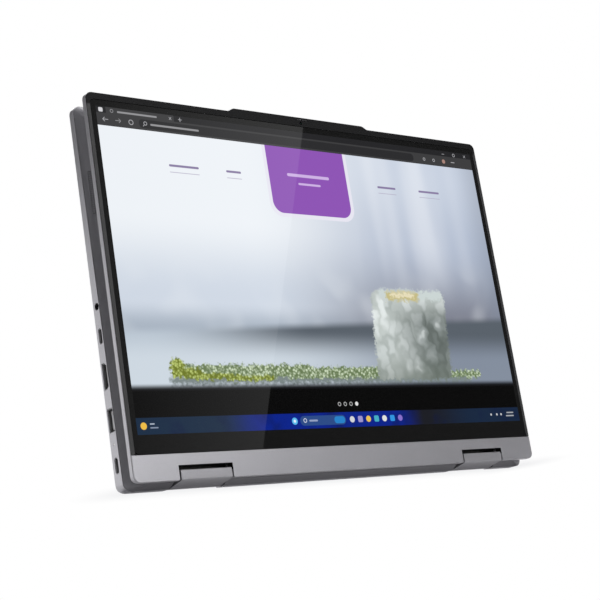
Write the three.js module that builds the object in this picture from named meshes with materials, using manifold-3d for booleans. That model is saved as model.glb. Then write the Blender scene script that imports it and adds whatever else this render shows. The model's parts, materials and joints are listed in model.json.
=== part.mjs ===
// A 14-inch convertible laptop with its lid folded right round, standing on its hinge edge as a tablet.
// Millimetres. +X runs along the hinge line, +Z from the hinge edge to the free edges. The screen faces
// -Y and the keyboard faces +Y. The origin is at the middle of the box's underside.
import * as THREE from "three";
import { mergeVertices } from "three/addons/utils/BufferGeometryUtils.js";
import Module from "manifold-3d";

const wasm = await Module();
wasm.setup();

// ---- driving dimensions ----
const WIDTH = 313;
const DEPTH = 222; // hinge edge to free edge, the same on the lid and on the base
const LID_THICKNESS = 4.6;
const BASE_THICKNESS = 13.3;
const TABLET_GAP = 1.8; // between the lid's back and the bottom cover when folded round
const CLOSED_GAP = 0.8; // between the screen and the deck when shut
const HINGE_OFFSET = 1.45; // how much further from the edge plane the lid's hinge line stands at rest
const LID_AXIS_INSET = 2.85; // lid hinge line to the lid's own hinge edge
const TOLERANCE = 0.05; // between pieces that rest on each other

const HALF_WIDTH = WIDTH / 2;
const LID_EDGE_Z = 2 * HINGE_OFFSET;
const LID_TOP_Z = LID_EDGE_Z + DEPTH;
const SCREEN_Y = -(LID_THICKNESS + TABLET_GAP + BASE_THICKNESS) / 2;
const LID_BACK_Y = SCREEN_Y + LID_THICKNESS;
const COVER_Y = LID_BACK_Y + TABLET_GAP;
const DECK_Y = COVER_Y + BASE_THICKNESS;

// (y, z) of the two hinge lines
const LID_AXIS = [SCREEN_Y + LID_THICKNESS / 2, LID_EDGE_Z + LID_AXIS_INSET];
const BASE_AXIS = [
  COVER_Y + (BASE_THICKNESS + CLOSED_GAP - TABLET_GAP) / 2,
  LID_AXIS[1] - HINGE_OFFSET,
];

// base shell
const BASE_CORNER = 4.8;
const WALL = 1.5;
const SKIN = 1.2;
const BEVEL = 11; // how far in the bottom cover's sloping sides reach
const REAR_BEVEL = 3; // the same slope at the hinge edge
const REAR_ROUND = 7.2; // the hinge edge is rounded about the base's hinge line
const SPLIT_LOW_Y = 1.85; // where the deck meets the bottom cover, at the hinge edge
const SPLIT_RISE = 3.2; // how much nearer the deck that seam is at the free edge
const SEAM = 0.3;

// lid shell
const LID_CORNER = 4;
const LID_WALL = 1.2;
const LID_SKIN = 0.7;
const BUMP_HALF = 57;
const BUMP_SLOPE = 5;
const BUMP_RISE = 2.1;
const RIM_WIDTH = 2.4;
const RIM_TOP_WIDTH = 4;
const RIM_DEPTH = 0.55;
const CHIN = 14.6; // the metal strip below the screen

// hinges
const NOTCH_IN = 91;
const NOTCH_OUT = 127.4;
const CAP_IN = 92.1;
const CAP_OUT = 126.3;
const LID_NOTCH = 8.15; // depth of the notch into the lid's edge
const BASE_NOTCH = 11.2; // height of the top of the notch in the base
const NOTCH_WALL = 1.2;
const BASE_SHAFT_RADIUS = 1.6;
const LID_SHAFT_RADIUS = 1;
const SHAFT_IN = 74;
const SHAFT_OUT = 125;
const SLEEVE_IN = 75;
const SLEEVE_OUT = 88;

// keyboard
const KEY_PITCH = 19.05;
const KEY_ROW_PITCH = 18.6;
const KEY_GAP = 3;
const FUNCTION_ROW = 12.4;
const KEY_AREA_WIDTH = 14.6 * KEY_PITCH;
const KEYBOARD_Z = 32.5;
const KEY_WELL_X = [-KEY_AREA_WIDTH / 2 - 1, KEY_AREA_WIDTH / 2 + 1];
const KEY_WELL_Z = [KEYBOARD_Z - 1, KEYBOARD_Z + FUNCTION_ROW + 5 * KEY_ROW_PITCH + 1];
const KEY_TOP_Y = DECK_Y - 0.2;
const KEY_HEIGHT = 1.85;
const KEY_WEB = 0.4; // thickness of the strip that joins a row's caps
const KEY_ROWS = [
  { name: "key_row_function", height: FUNCTION_ROW, units: Array(16).fill(14.6 / 16) },
  { name: "key_row_numbers", height: KEY_ROW_PITCH, units: [...Array(13).fill(1), 1.6] },
  { name: "key_row_upper", height: KEY_ROW_PITCH, units: [1.4, ...Array(12).fill(1), 1.2] },
  { name: "key_row_home", height: KEY_ROW_PITCH, units: [1.65, ...Array(11).fill(1), 1.95] },
  { name: "key_row_lower", height: KEY_ROW_PITCH, units: [2.2, ...Array(10).fill(1), 2.4] },
];
const BOTTOM_ROW = [
  { name: "keys_bottom_left", start: 0, units: [1.2, 1, 1, 1] },
  { name: "space_bar", start: 4.2, units: [5.2] },
  { name: "keys_bottom_right", start: 9.4, units: [1, 1, 1, 1.2, 1] },
];
const ARROW_PAIR = 3; // this key of the last group is split into an up and a down key

const PAD_HALF = 60;
const PAD_Z = [143.5, 214.5];

// side walls: size is width along Z, height along Y, and the corner's radius or slope
const SOCKET_Y = 5.6;
const SOCKET_SHELL = 0.3;
const SOCKET_FIT = 0.15; // round a socket's shell, in the wall
const USB_A = { mouth: plainMouth, size: [12.5, 4.6, 0.4], deep: 13, tongue: 1.8 };
const USB_C = { mouth: plainMouth, size: [8.3, 2.5, 1.2], deep: 8, tongue: 0.7 };
const HDMI = { mouth: slopedMouth, size: [14, 4.2, 1.8], deep: 11, tongue: 1 };
const CARD_SLOT = { mouth: plainMouth, size: [11.4, 1.6, 0.3], deep: 13, tongue: 0.5 };
const SOCKETS = [
  { name: "usb_c_socket_rear", side: -1, z: 15, y: SOCKET_Y, ...USB_C },
  { name: "usb_a_socket_left", side: -1, z: 39.7, y: SOCKET_Y, ...USB_A },
  { name: "hdmi_socket", side: -1, z: 64.2, y: SOCKET_Y, ...HDMI },
  { name: "usb_c_socket_front", side: -1, z: 86.7, y: SOCKET_Y + 0.1, ...USB_C },
  { name: "usb_a_socket_right", side: 1, z: 52, y: SOCKET_Y, ...USB_A },
  { name: "card_reader", side: 1, z: 84, y: SOCKET_Y + 0.4, ...CARD_SLOT },
];
const JACK = { z: 103.6, y: 5.75, hole: 1.75, outside: 1.95, deep: 12 };
const CHARGE_LIGHT = { z: 26.6, y: SOCKET_Y + 0.3, radius: 0.45, deep: 4 };
const POWER_BUTTON = { z: 150, y: 6.4, length: 12, height: 2.6 };

// bottom cover
const VENT = { count: 16, pitch: 9, width: 6, z: [34, 46] };
const SCREWS = [[-134, 20], [134, 20], [-126, 200], [126, 200]];
const SCREW = { head: 2.4, shank: 1, length: 4, room: 0.3 };
const GRILLE = { z: [156, 182], inner: 2.8, outer: 4.6 }; // inner and outer are distances from the side
const FOOT = { height: 1.4, rear: { x: 116, z: [15, 21] }, front: { x: 120, z: [197, 203] } };

// inside the base, each as spans along X, Y and Z
const MAINBOARD = { x: [-148, 66], y: [1.2, 2.1], z: [16, 104] };
const PROCESSOR = { x: [-12, 12], y: [0.5, 1.3], z: [44, 68] };
const STORAGE = { x: [-72, 8], y: [-0.6, 0.9], z: [76, 98] };
const WIRELESS = { x: [-112, -82], y: [-0.3, 0.9], z: [30, 52] };
const KEY_PLATE = { x: [-140, 140], y: [5.2, 5.8], z: [KEYBOARD_Z, KEY_WELL_Z[1] - 1] };
const PAD_BRACKET = { x: [-64, 64], y: [7, 7.6], z: [141, 217] };
const BATTERY = { x: [-110, 110], y: [-1.8, 4.6], z: [109, 194] };
const SPEAKER = { x: [116, 144], y: [-0.4, 3.6], z: [142, 192] };
const FINS = { x: [72, 120.4], y: [0.2, 3.9], z: [18, 27], count: 18, pitch: 2.8, thick: 0.8 };
const HEAT_PIPE_PATH = [[-14, 56], [22, 56], [50, 34], [72, 22.5], [122, 22.5]]; // (x, z)
const HEAT_PIPE = { y: -0.9, half: [0.9, 4], path: HEAT_PIPE_PATH };
const FAN = { x: 98, z: 57, y: [-1.7, 3.9], radius: 21, eye: 13, hub: 8, blades: 17, skin: 0.8 };

// lid
const LID_WALL_Y = SCREEN_Y + RIM_DEPTH + SEAM;
const GLASS_X = HALF_WIDTH - RIM_WIDTH;
const GLASS_Z = [LID_EDGE_Z + CHIN + 0.2, LID_TOP_Z - RIM_TOP_WIDTH];
const PANEL = { x: [-153, 153], y: [SCREEN_Y + 1.05, SCREEN_Y + 3.3], z: [22, 219.5] };
const WEBCAM_Z = LID_TOP_Z - 1.7;
const LENS_RADIUS = 1.4;
const SHUTTER_X = 4.5;

const group = new THREE.Group();

// ---- materials ----
function metal(colour, roughness) {
  return new THREE.MeshStandardMaterial({ color: colour, roughness, metalness: 0.9 });
}

function plastic(colour, roughness) {
  return new THREE.MeshStandardMaterial({ color: colour, roughness, metalness: 0 });
}

const GREY_ALUMINIUM = metal(0x8d8b92, 0.4);
const DARK_ALUMINIUM = metal(0x6a6a70, 0.5);
const STEEL = metal(0xb9bbbf, 0.3);
const COPPER = metal(0xb5714a, 0.3);
const BLACK_PLASTIC = plastic(0x1c1c1e, 0.6);
const KEY_PLASTIC = plastic(0x4b4b51, 0.7);
const RUBBER = plastic(0x26262a, 0.9);
const GLASS = plastic(0x08080a, 0.08);
const DISPLAY = plastic(0x9fb2c8, 0.3);
const BOARD = plastic(0x1d4a38, 0.6);
const LIGHT_GUIDE = plastic(0xf2f2ea, 0.3);

// ---- solids ----
const AXES = {
  x: new THREE.Matrix4().makeBasis(
    new THREE.Vector3(0, 1, 0),
    new THREE.Vector3(0, 0, 1),
    new THREE.Vector3(1, 0, 0),
  ),
  y: new THREE.Matrix4().makeBasis(
    new THREE.Vector3(1, 0, 0),
    new THREE.Vector3(0, 0, 1),
    new THREE.Vector3(0, -1, 0),
  ),
};

function solidOf(geometry) {
  const flat = geometry.index ? geometry.toNonIndexed() : geometry;
  const bare = new THREE.BufferGeometry();
  bare.setAttribute("position", flat.getAttribute("position"));
  const merged = mergeVertices(bare, 1e-4);
  const mesh = new wasm.Mesh({
    numProp: 3,
    vertProperties: new Float32Array(merged.attributes.position.array),
    triVerts: new Uint32Array(merged.index.array),
  });
  return new wasm.Manifold(mesh);
}

function geometryOf(solid) {
  const mesh = solid.getMesh();
  const geometry = new THREE.BufferGeometry();
  geometry.setAttribute("position", new THREE.BufferAttribute(new Float32Array(mesh.vertProperties), 3));
  geometry.setIndex(new THREE.BufferAttribute(new Uint32Array(mesh.triVerts), 1));
  const flat = geometry.toNonIndexed();
  flat.computeVertexNormals();
  return flat;
}

function addPart(name, solid, material) {
  const mesh = new THREE.Mesh(geometryOf(solid), material);
  mesh.name = name;
  group.add(mesh);
}

// An outline of (y, z) points drawn out along X, or of (x, z) points drawn out along Y.
function extrude(axis, outline, low, high, holes = []) {
  const shape = new THREE.Shape(outline.map(([a, b]) => new THREE.Vector2(a, b)));
  shape.holes = holes.map((hole) => new THREE.Path(hole.map(([a, b]) => new THREE.Vector2(a, b))));
  const geometry = new THREE.ExtrudeGeometry(shape, { depth: high - low, bevelEnabled: false });
  geometry.applyMatrix4(AXES[axis]);
  geometry.translate(axis === "x" ? low : 0, axis === "y" ? high : 0, 0);
  return solidOf(geometry);
}

function box(x, y, z) {
  const geometry = new THREE.BoxGeometry(x[1] - x[0], y[1] - y[0], z[1] - z[0]);
  geometry.translate((x[0] + x[1]) / 2, (y[0] + y[1]) / 2, (z[0] + z[1]) / 2);
  return solidOf(geometry);
}

function block({ x, y, z }) {
  return box(x, y, z);
}

function rodAlongX(radius, x, [y, z], sides = 20) {
  return extrude("x", arc(y, z, radius, 0, 360 - 360 / sides, sides - 1), x[0], x[1]);
}

function discAlongY(radius, y, x, z, sides = 20) {
  return extrude("y", arc(x, z, radius, 0, 360 - 360 / sides, sides - 1), y[0], y[1]);
}

function arc(a, b, radius, start, end, steps) {
  return Array.from({ length: steps + 1 }, (_, i) => {
    const angle = THREE.MathUtils.degToRad(start + ((end - start) * i) / steps);
    return [a + radius * Math.cos(angle), b + radius * Math.sin(angle)];
  });
}

function roundedRectangle([a0, a1], [b0, b1], radius, steps = 4) {
  return [
    ...arc(a0 + radius, b0 + radius, radius, 180, 270, steps),
    ...arc(a1 - radius, b0 + radius, radius, 270, 360, steps),
    ...arc(a1 - radius, b1 - radius, radius, 0, 90, steps),
    ...arc(a0 + radius, b1 - radius, radius, 90, 180, steps),
  ];
}

// A closed skin through rings of (x, y, z) points, from the ring at the highest Y to the lowest.
function loft(rings) {
  const count = rings[0].length;
  const index = [];
  for (let level = 0; level < rings.length - 1; level += 1) {
    for (let i = 0; i < count; i += 1) {
      const a = level * count + i;
      const b = level * count + ((i + 1) % count);
      index.push(a, b, b + count, a, b + count, a + count);
    }
  }
  const flatRing = rings[0].map(([x, , z]) => new THREE.Vector2(x, z));
  const last = (rings.length - 1) * count;
  THREE.ShapeUtils.triangulateShape(flatRing, []).forEach(([a, b, c]) => {
    index.push(c, b, a, last + a, last + b, last + c);
  });
  const geometry = new THREE.BufferGeometry();
  geometry.setAttribute("position", new THREE.Float32BufferAttribute(rings.flat(2), 3));
  geometry.setIndex(index);
  return solidOf(geometry);
}

function union(solids) {
  return solids.reduce((sum, solid) => sum.add(solid));
}

function cut(solid, cutters) {
  return cutters.reduce((rest, cutter) => rest.subtract(cutter), solid);
}

function mirrored([low, high], side) {
  return side > 0 ? [low, high] : [-high, -low];
}

// ---- base shell ----
function splitY(z) {
  return SPLIT_LOW_Y + (SPLIT_RISE * z) / DEPTH;
}

function baseRing(side, front, rear, radius, yAt) {
  const half = HALF_WIDTH - side;
  const outline = roundedRectangle([-half, half], [rear, DEPTH - front], radius, 5);
  return outline.map(([x, z]) => [x, yAt(z), z]);
}

// The hinge edge's section: both long corners follow one circle about the hinge line.
function baseSideSection() {
  const [y, z] = BASE_AXIS;
  const toDegrees = THREE.MathUtils.radToDeg;
  const deckAngle = toDegrees(Math.acos((DECK_Y - y) / REAR_ROUND));
  const coverAngle = toDegrees(Math.acos((y - COVER_Y) / REAR_ROUND));
  const edgeAngle = toDegrees(Math.asin(z / REAR_ROUND));
  return [
    [COVER_Y, DEPTH + 1],
    ...arc(y, z, REAR_ROUND, 180 + coverAngle, 180 + edgeAngle, 2),
    ...arc(y, z, REAR_ROUND, -edgeAngle, -deckAngle, 5),
    [DECK_Y, DEPTH + 1],
  ];
}

function baseOutside() {
  const chamfer = 0.5;
  const skin = loft([
    baseRing(chamfer, chamfer, chamfer, BASE_CORNER - chamfer, () => DECK_Y),
    baseRing(0, 0, 0, BASE_CORNER, () => DECK_Y - chamfer),
    baseRing(0, 0, 0, BASE_CORNER, splitY),
    baseRing(BEVEL, BEVEL, REAR_BEVEL, BASE_CORNER, () => COVER_Y),
  ]);
  return skin.intersect(extrude("x", baseSideSection(), -HALF_WIDTH - 1, HALF_WIDTH + 1));
}

function baseNotch(side, grow) {
  return box(
    mirrored([NOTCH_IN - grow, NOTCH_OUT + grow], side),
    [COVER_Y - 5, DECK_Y + 5],
    [-5, BASE_NOTCH + grow],
  );
}

function baseCavity() {
  const rear = 1.3;
  const lowInset = BEVEL - 0.5;
  const inside = loft([
    baseRing(WALL, WALL, rear, BASE_CORNER - WALL, () => DECK_Y - SKIN),
    baseRing(WALL, WALL, rear, BASE_CORNER - WALL, (z) => splitY(z) + SEAM),
    baseRing(lowInset, lowInset, rear + REAR_BEVEL, BASE_CORNER - WALL, () => COVER_Y + SKIN),
  ]);
  return cut(inside, [baseNotch(1, NOTCH_WALL), baseNotch(-1, NOTCH_WALL)]);
}

// Everything on one side of the seam between the deck and the bottom cover.
function seamSide(towardsDeck) {
  const shift = (towardsDeck * SEAM) / 2;
  const far = towardsDeck > 0 ? DECK_Y + 5 : COVER_Y - 5;
  const seam = [
    [splitY(-5) + shift, -5],
    [splitY(DEPTH + 5) + shift, DEPTH + 5],
  ];
  return extrude("x", [...seam, [far, DEPTH + 5], [far, -5]], -HALF_WIDTH - 5, HALF_WIDTH + 5);
}

function shaftHole(side) {
  return rodAlongX(BASE_SHAFT_RADIUS + 0.4, mirrored([NOTCH_IN - 3, NOTCH_IN + 1], side), BASE_AXIS);
}

const baseShell = cut(baseOutside(), [
  baseCavity(),
  baseNotch(1, 0),
  baseNotch(-1, 0),
  shaftHole(1),
  shaftHole(-1),
]);

// ---- sockets ----
function plainMouth(width, height, radius, grow) {
  const half = [height / 2 + grow, width / 2 + grow];
  return (z, y) =>
    roundedRectangle([y - half[0], y + half[0]], [z - half[1], z + half[1]], radius + grow, 3);
}

// A mouth whose two corners on the bottom-cover side are cut off.
function slopedMouth(width, height, slope, grow) {
  const a = height / 2 + grow;
  const b = width / 2 + grow;
  return (z, y) => [
    [y - a, z - b + slope],
    [y, z - b],
    [y + a, z - b],
    [y + a, z + b],
    [y, z + b],
    [y - a, z + b - slope],
  ];
}

function wallOpening({ side, z, y, mouth, size }) {
  const outline = mouth(...size, SOCKET_SHELL + SOCKET_FIT)(z, y);
  return extrude("x", outline, ...mirrored([HALF_WIDTH - WALL - 0.5, HALF_WIDTH + 1], side));
}

function addSocket({ name, side, z, y, mouth, size, deep, tongue }) {
  const face = HALF_WIDTH - 0.3;
  const shell = extrude("x", mouth(...size, SOCKET_SHELL)(z, y), ...mirrored([face - deep, face], side));
  const hollow = extrude("x", mouth(...size, 0)(z, y), ...mirrored([face - deep + 0.8, face + 1], side));
  const blade = box(
    mirrored([face - deep + 0.4, face - 1.2], side),
    [y - tongue / 2, y + tongue / 2],
    [z - size[0] / 2 + 1.2, z + size[0] / 2 - 1.2],
  );
  addPart(name, shell.subtract(hollow).add(blade), STEEL);
}

function addJack() {
  const face = HALF_WIDTH - 0.2;
  const barrel = rodAlongX(JACK.outside, [-face, -face + JACK.deep], [JACK.y, JACK.z]);
  const bore = rodAlongX(JACK.hole, [-face - 1, -face + JACK.deep - 1], [JACK.y, JACK.z]);
  addPart("audio_jack", barrel.subtract(bore), BLACK_PLASTIC);
}

function addChargeLight() {
  const { y, z, radius, deep } = CHARGE_LIGHT;
  const guide = rodAlongX(radius, [-HALF_WIDTH + 0.1, -HALF_WIDTH + deep], [y, z], 12);
  addPart("charge_light", guide, LIGHT_GUIDE);
}

function buttonOutline(grow) {
  const { z, y, length, height } = POWER_BUTTON;
  const half = [height / 2 + grow, length / 2 + grow];
  return roundedRectangle([y - half[0], y + half[0]], [z - half[1], z + half[1]], half[0] - 0.05, 4);
}

function addPowerButton() {
  const stem = extrude("x", buttonOutline(0), HALF_WIDTH - 2.6, HALF_WIDTH - 0.1);
  const flange = extrude("x", buttonOutline(0.7), HALF_WIDTH - 2.8, HALF_WIDTH - WALL - 0.3);
  addPart("power_button", stem.add(flange), GREY_ALUMINIUM);
}

// ---- keyboard ----
function keyCells() {
  const cells = [];
  let z = KEYBOARD_Z;
  KEY_ROWS.forEach(({ name, height, units }) => {
    cells.push({ name, z: [z, z + height], start: 0, units });
    z += height;
  });
  BOTTOM_ROW.forEach(({ name, start, units }) => {
    cells.push({ name, z: [z, z + KEY_ROW_PITCH], start, units });
  });
  return cells;
}

// The (x, z) boxes of one row's caps.
function keyCaps({ name, z, start, units }) {
  let x = -KEY_AREA_WIDTH / 2 + start * KEY_PITCH;
  const inset = KEY_GAP / 2;
  return units.flatMap((unit, i) => {
    const span = [x + inset, x + unit * KEY_PITCH - inset];
    x += unit * KEY_PITCH;
    if (name !== "keys_bottom_right" || i !== ARROW_PAIR) return [[span, [z[0] + inset, z[1] - inset]]];
    const middle = (z[0] + z[1]) / 2;
    return [
      [span, [z[0] + inset, middle - 0.5]],
      [span, [middle + 0.5, z[1] - inset]],
    ];
  });
}

function capSolid([[x0, x1], [z0, z1]]) {
  const taper = 0.35;
  const ring = (inset, y) => [
    [x0 + inset, y, z0 + inset],
    [x1 - inset, y, z0 + inset],
    [x1 - inset, y, z1 - inset],
    [x0 + inset, y, z1 - inset],
  ];
  return loft([ring(taper, KEY_TOP_Y), ring(0, KEY_TOP_Y - 0.6), ring(0, KEY_TOP_Y - KEY_HEIGHT)]);
}

function addKeys() {
  const holes = [];
  keyCells().forEach((row) => {
    const caps = keyCaps(row);
    const bottom = KEY_TOP_Y - KEY_HEIGHT;
    const middle = (row.z[0] + row.z[1]) / 2;
    const web = box(
      [caps[0][0][0] + 1, caps[caps.length - 1][0][1] - 1],
      [bottom - KEY_WEB, bottom + 0.1],
      [middle - 3, middle + 3],
    );
    addPart(row.name, union([web, ...caps.map(capSolid)]), KEY_PLASTIC);
    caps.forEach(([x, z]) => holes.push([x, z]));
  });
  const clearance = 0.4;
  const frameY = [KEY_TOP_Y - 1.35, KEY_TOP_Y - 0.75];
  const widened = ([low, high], by) => [low - by, high + by];
  const sheet = box(widened(KEY_WELL_X, -0.2), frameY, widened(KEY_WELL_Z, -0.2));
  const openings = holes.map(([x, z]) =>
    box(widened(x, clearance), widened(frameY, 1), widened(z, clearance)),
  );
  addPart("keyboard_frame", cut(sheet, openings), KEY_PLASTIC);
  addPart("keyboard_plate", block(KEY_PLATE), STEEL);
}

// ---- deck and bottom cover ----
function addDeck() {
  const well = box(KEY_WELL_X, [DECK_Y - 3, DECK_Y + 1], KEY_WELL_Z);
  const pad = [[-PAD_HALF - 0.4, PAD_HALF + 0.4], [PAD_Z[0] - 0.4, PAD_Z[1] + 0.4]];
  const padHole = extrude("y", roundedRectangle(pad[0], pad[1], 2.4), DECK_Y - 3, DECK_Y + 1);
  const wallSpan = [-HALF_WIDTH - 1, -HALF_WIDTH + WALL + 0.5];
  const deck = cut(baseShell.intersect(seamSide(1)), [
    well,
    padHole,
    ...SOCKETS.map(wallOpening),
    rodAlongX(JACK.outside + 0.15, wallSpan, [JACK.y, JACK.z]),
    rodAlongX(CHARGE_LIGHT.radius + 0.15, wallSpan, [CHARGE_LIGHT.y, CHARGE_LIGHT.z], 12),
    extrude("x", buttonOutline(0.2), HALF_WIDTH - WALL - 0.5, HALF_WIDTH + 1),
  ]);
  addPart("keyboard_deck", deck, GREY_ALUMINIUM);
}

// The strip of the side bevel that holds the speaker holes, as an (x, y) band lying on the bevel.
function grilleStrip(side, proud, depth, trim) {
  const point = (x, down) => {
    const slope = (splitY((GRILLE.z[0] + GRILLE.z[1]) / 2) - COVER_Y) / BEVEL;
    const length = Math.hypot(1, slope);
    const y = splitY((GRILLE.z[0] + GRILLE.z[1]) / 2) - x * slope;
    return [side * (HALF_WIDTH - x - (down * slope) / length), y + down / length];
  };
  const low = GRILLE.inner + trim;
  const high = GRILLE.outer - trim;
  const section = [point(low, -proud), point(high, -proud), point(high, depth), point(low, depth)];
  const shape = new THREE.Shape(section.map(([x, y]) => new THREE.Vector2(x, y)));
  const span = GRILLE.z[1] - GRILLE.z[0] - 2 * trim;
  const geometry = new THREE.ExtrudeGeometry(shape, { depth: span, bevelEnabled: false });
  geometry.translate(0, 0, GRILLE.z[0] + trim);
  return solidOf(geometry);
}

function addBottomCover() {
  const slots = Array.from({ length: VENT.count }, (_, i) => {
    const x = (i - (VENT.count - 1) / 2) * VENT.pitch;
    return box([x - VENT.width / 2, x + VENT.width / 2], [COVER_Y - 1, COVER_Y + 2], VENT.z);
  });
  const screwHoles = SCREWS.flatMap(([x, z]) => [
    discAlongY(SCREW.head + SCREW.room, [COVER_Y - 1, COVER_Y + 0.6], x, z),
    discAlongY(SCREW.shank + SCREW.room, [COVER_Y - 1, COVER_Y + 3], x, z, 12),
  ]);
  const grilles = [-1, 1].map((side) => grilleStrip(side, 1, 3, 0));
  const cover = cut(baseShell.intersect(seamSide(-1)), [...slots, ...screwHoles, ...grilles]);
  addPart("bottom_cover", cover, DARK_ALUMINIUM);
  addPart("speaker_grille_left", grilleStrip(-1, 0, 0.5, 0.15), BLACK_PLASTIC);
  addPart("speaker_grille_right", grilleStrip(1, 0, 0.5, 0.15), BLACK_PLASTIC);
  SCREWS.forEach(([x, z], i) => {
    const head = discAlongY(SCREW.head, [COVER_Y + 0.1, COVER_Y + 0.55], x, z);
    const shank = discAlongY(SCREW.shank, [COVER_Y + 0.3, COVER_Y + SCREW.length], x, z, 12);
    addPart("cover_screw_" + (i + 1), head.add(shank), STEEL);
  });
}

function foot({ x, z }) {
  const outline = roundedRectangle([-x, x], z, (z[1] - z[0]) / 2 - 0.1);
  return extrude("y", outline, COVER_Y - TOLERANCE - FOOT.height, COVER_Y - TOLERANCE);
}

function addFeet() {
  addPart("foot_rear", foot(FOOT.rear), RUBBER);
  addPart("foot_front", foot(FOOT.front), RUBBER);
}

function addTouchpad() {
  const outline = roundedRectangle([-PAD_HALF, PAD_HALF], PAD_Z, 2);
  addPart("touchpad", extrude("y", outline, DECK_Y - 1.1, DECK_Y - 0.1), GREY_ALUMINIUM);
  addPart("touchpad_bracket", block(PAD_BRACKET), STEEL);
}

// ---- inside the base ----
function addBoards() {
  addPart("mainboard", block(MAINBOARD).add(block(PROCESSOR)), BOARD);
  addPart("solid_state_drive", block(STORAGE), BOARD);
  addPart("wireless_card", block(WIRELESS), BOARD);
}

function addCooling() {
  const { y, half, path } = HEAT_PIPE;
  const route = new THREE.CatmullRomCurve3(path.map(([x, z]) => new THREE.Vector3(x, y, z)));
  const outline = roundedRectangle([-half[0], half[0]], [-half[1], half[1]], half[0] - 0.05, 3);
  const section = new THREE.Shape(outline.map(([a, b]) => new THREE.Vector2(a, b)));
  const settings = { steps: 20, extrudePath: route, bevelEnabled: false };
  addPart("heat_pipe", solidOf(new THREE.ExtrudeGeometry(section, settings)), COPPER);
  const plateTop = FINS.y[0] + 0.4;
  const fins = Array.from({ length: FINS.count }, (_, i) => {
    const x = FINS.x[0] + i * FINS.pitch;
    return box([x, x + FINS.thick], [plateTop - 0.1, FINS.y[1]], FINS.z);
  });
  addPart("heatsink_fins", union([box(FINS.x, [FINS.y[0], plateTop], FINS.z), ...fins]), COPPER);
}

function addFan() {
  const { x, z, y, radius, eye, hub, blades, skin } = FAN;
  const outside = roundedRectangle([x - 26, x + 26], [z - 27, z + 26], 8);
  const room = [y[0] + skin, y[1] - skin];
  const chamber = discAlongY(radius + 1.5, room, x, z, 32);
  const inlet = discAlongY(eye, [y[0] - 1, y[0] + 1], x, z, 24);
  const outlet = box([x - 22, x + 22], room, [z - 28, z - 8]);
  addPart("fan_housing", cut(extrude("y", outside, ...y), [chamber, inlet, outlet]), BLACK_PLASTIC);
  const blade = box([0, radius - 0.5], [room[0] + 0.5, room[1] - 0.5], [-0.4, 0.4]);
  const wheel = Array.from({ length: blades }, (_, i) =>
    blade.rotate([0, (360 * i) / blades, 0]).translate([x, 0, z]),
  );
  const middle = discAlongY(hub, [room[0] + 0.3, room[1] - 0.3], x, z);
  addPart("fan_impeller", union([middle, ...wheel]), BLACK_PLASTIC);
}

function addPowerAndSound() {
  const battery = roundedRectangle(BATTERY.x, BATTERY.z, 3);
  addPart("battery_pack", extrude("y", battery, ...BATTERY.y), BLACK_PLASTIC);
  [-1, 1].forEach((side) => {
    const speaker = extrude("y", roundedRectangle(mirrored(SPEAKER.x, side), SPEAKER.z, 4), ...SPEAKER.y);
    addPart(side < 0 ? "speaker_left" : "speaker_right", speaker, BLACK_PLASTIC);
  });
}

// ---- hinges ----
function capSection() {
  const [baseY, baseZ] = BASE_AXIS;
  const [, lidZ] = LID_AXIS;
  const front = SCREEN_Y + 0.1;
  const back = baseY + 5.6;
  const low = 0.3;
  const bow = 0.8;
  const heel = 1.5;
  return [
    ...arc(front + bow, lidZ - 2.95 + bow, bow, 180, 259, 3),
    [baseY + 0.5, low],
    ...arc(back - heel, low + heel, heel, 270, 360, 4),
    ...arc(back - heel, baseZ + 4 - heel, heel, 0, 90, 4),
    ...arc(front + bow, lidZ + 2.95 - bow, bow, 90, 180, 3),
  ];
}

function addHinge(side) {
  const suffix = side < 0 ? "_left" : "_right";
  const bores = [
    rodAlongX(BASE_SHAFT_RADIUS + 0.1, mirrored([CAP_IN - 1, SHAFT_OUT + 0.2], side), BASE_AXIS, 24),
    rodAlongX(LID_SHAFT_RADIUS + 0.1, mirrored([CAP_IN - 1, SHAFT_OUT + 0.2], side), LID_AXIS, 24),
  ];
  const cap = cut(extrude("x", capSection(), ...mirrored([CAP_IN, CAP_OUT], side)), bores);
  addPart("hinge_cap" + suffix, cap, GREY_ALUMINIUM);
  const shaft = mirrored([SHAFT_IN, SHAFT_OUT], side);
  addPart("base_shaft" + suffix, rodAlongX(BASE_SHAFT_RADIUS, shaft, BASE_AXIS), STEEL);
  addPart("lid_shaft" + suffix, rodAlongX(LID_SHAFT_RADIUS, shaft, LID_AXIS), STEEL);
  addBaseBracket(side, "base_bracket" + suffix);
  addLidBracket(side, "lid_bracket" + suffix);
}

function addBaseBracket(side, name) {
  const [y, z] = BASE_AXIS;
  const span = mirrored([SLEEVE_IN, SLEEVE_OUT], side);
  const sleeve = rodAlongX(2.6, span, BASE_AXIS, 24);
  const leg = box(span, [y + 1.5, y + 2.4], [z, 30]);
  const bore = rodAlongX(BASE_SHAFT_RADIUS + 0.1, [span[0] - 1, span[1] + 1], BASE_AXIS, 24);
  addPart(name, sleeve.add(leg).subtract(bore), STEEL);
}

function addLidBracket(side, name) {
  const [y, z] = LID_AXIS;
  const span = mirrored([SLEEVE_IN, SLEEVE_OUT], side);
  const knuckle = box(span, [y - 1.4, y + 1.4], [z - 1.6, z + 1.6]);
  const leg = box(span, [y + 0.6, y + 1.4], [z, 18]);
  const bore = rodAlongX(LID_SHAFT_RADIUS + 0.1, [span[0] - 1, span[1] + 1], LID_AXIS, 24);
  addPart(name, knuckle.add(leg).subtract(bore), STEEL);
}

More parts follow.
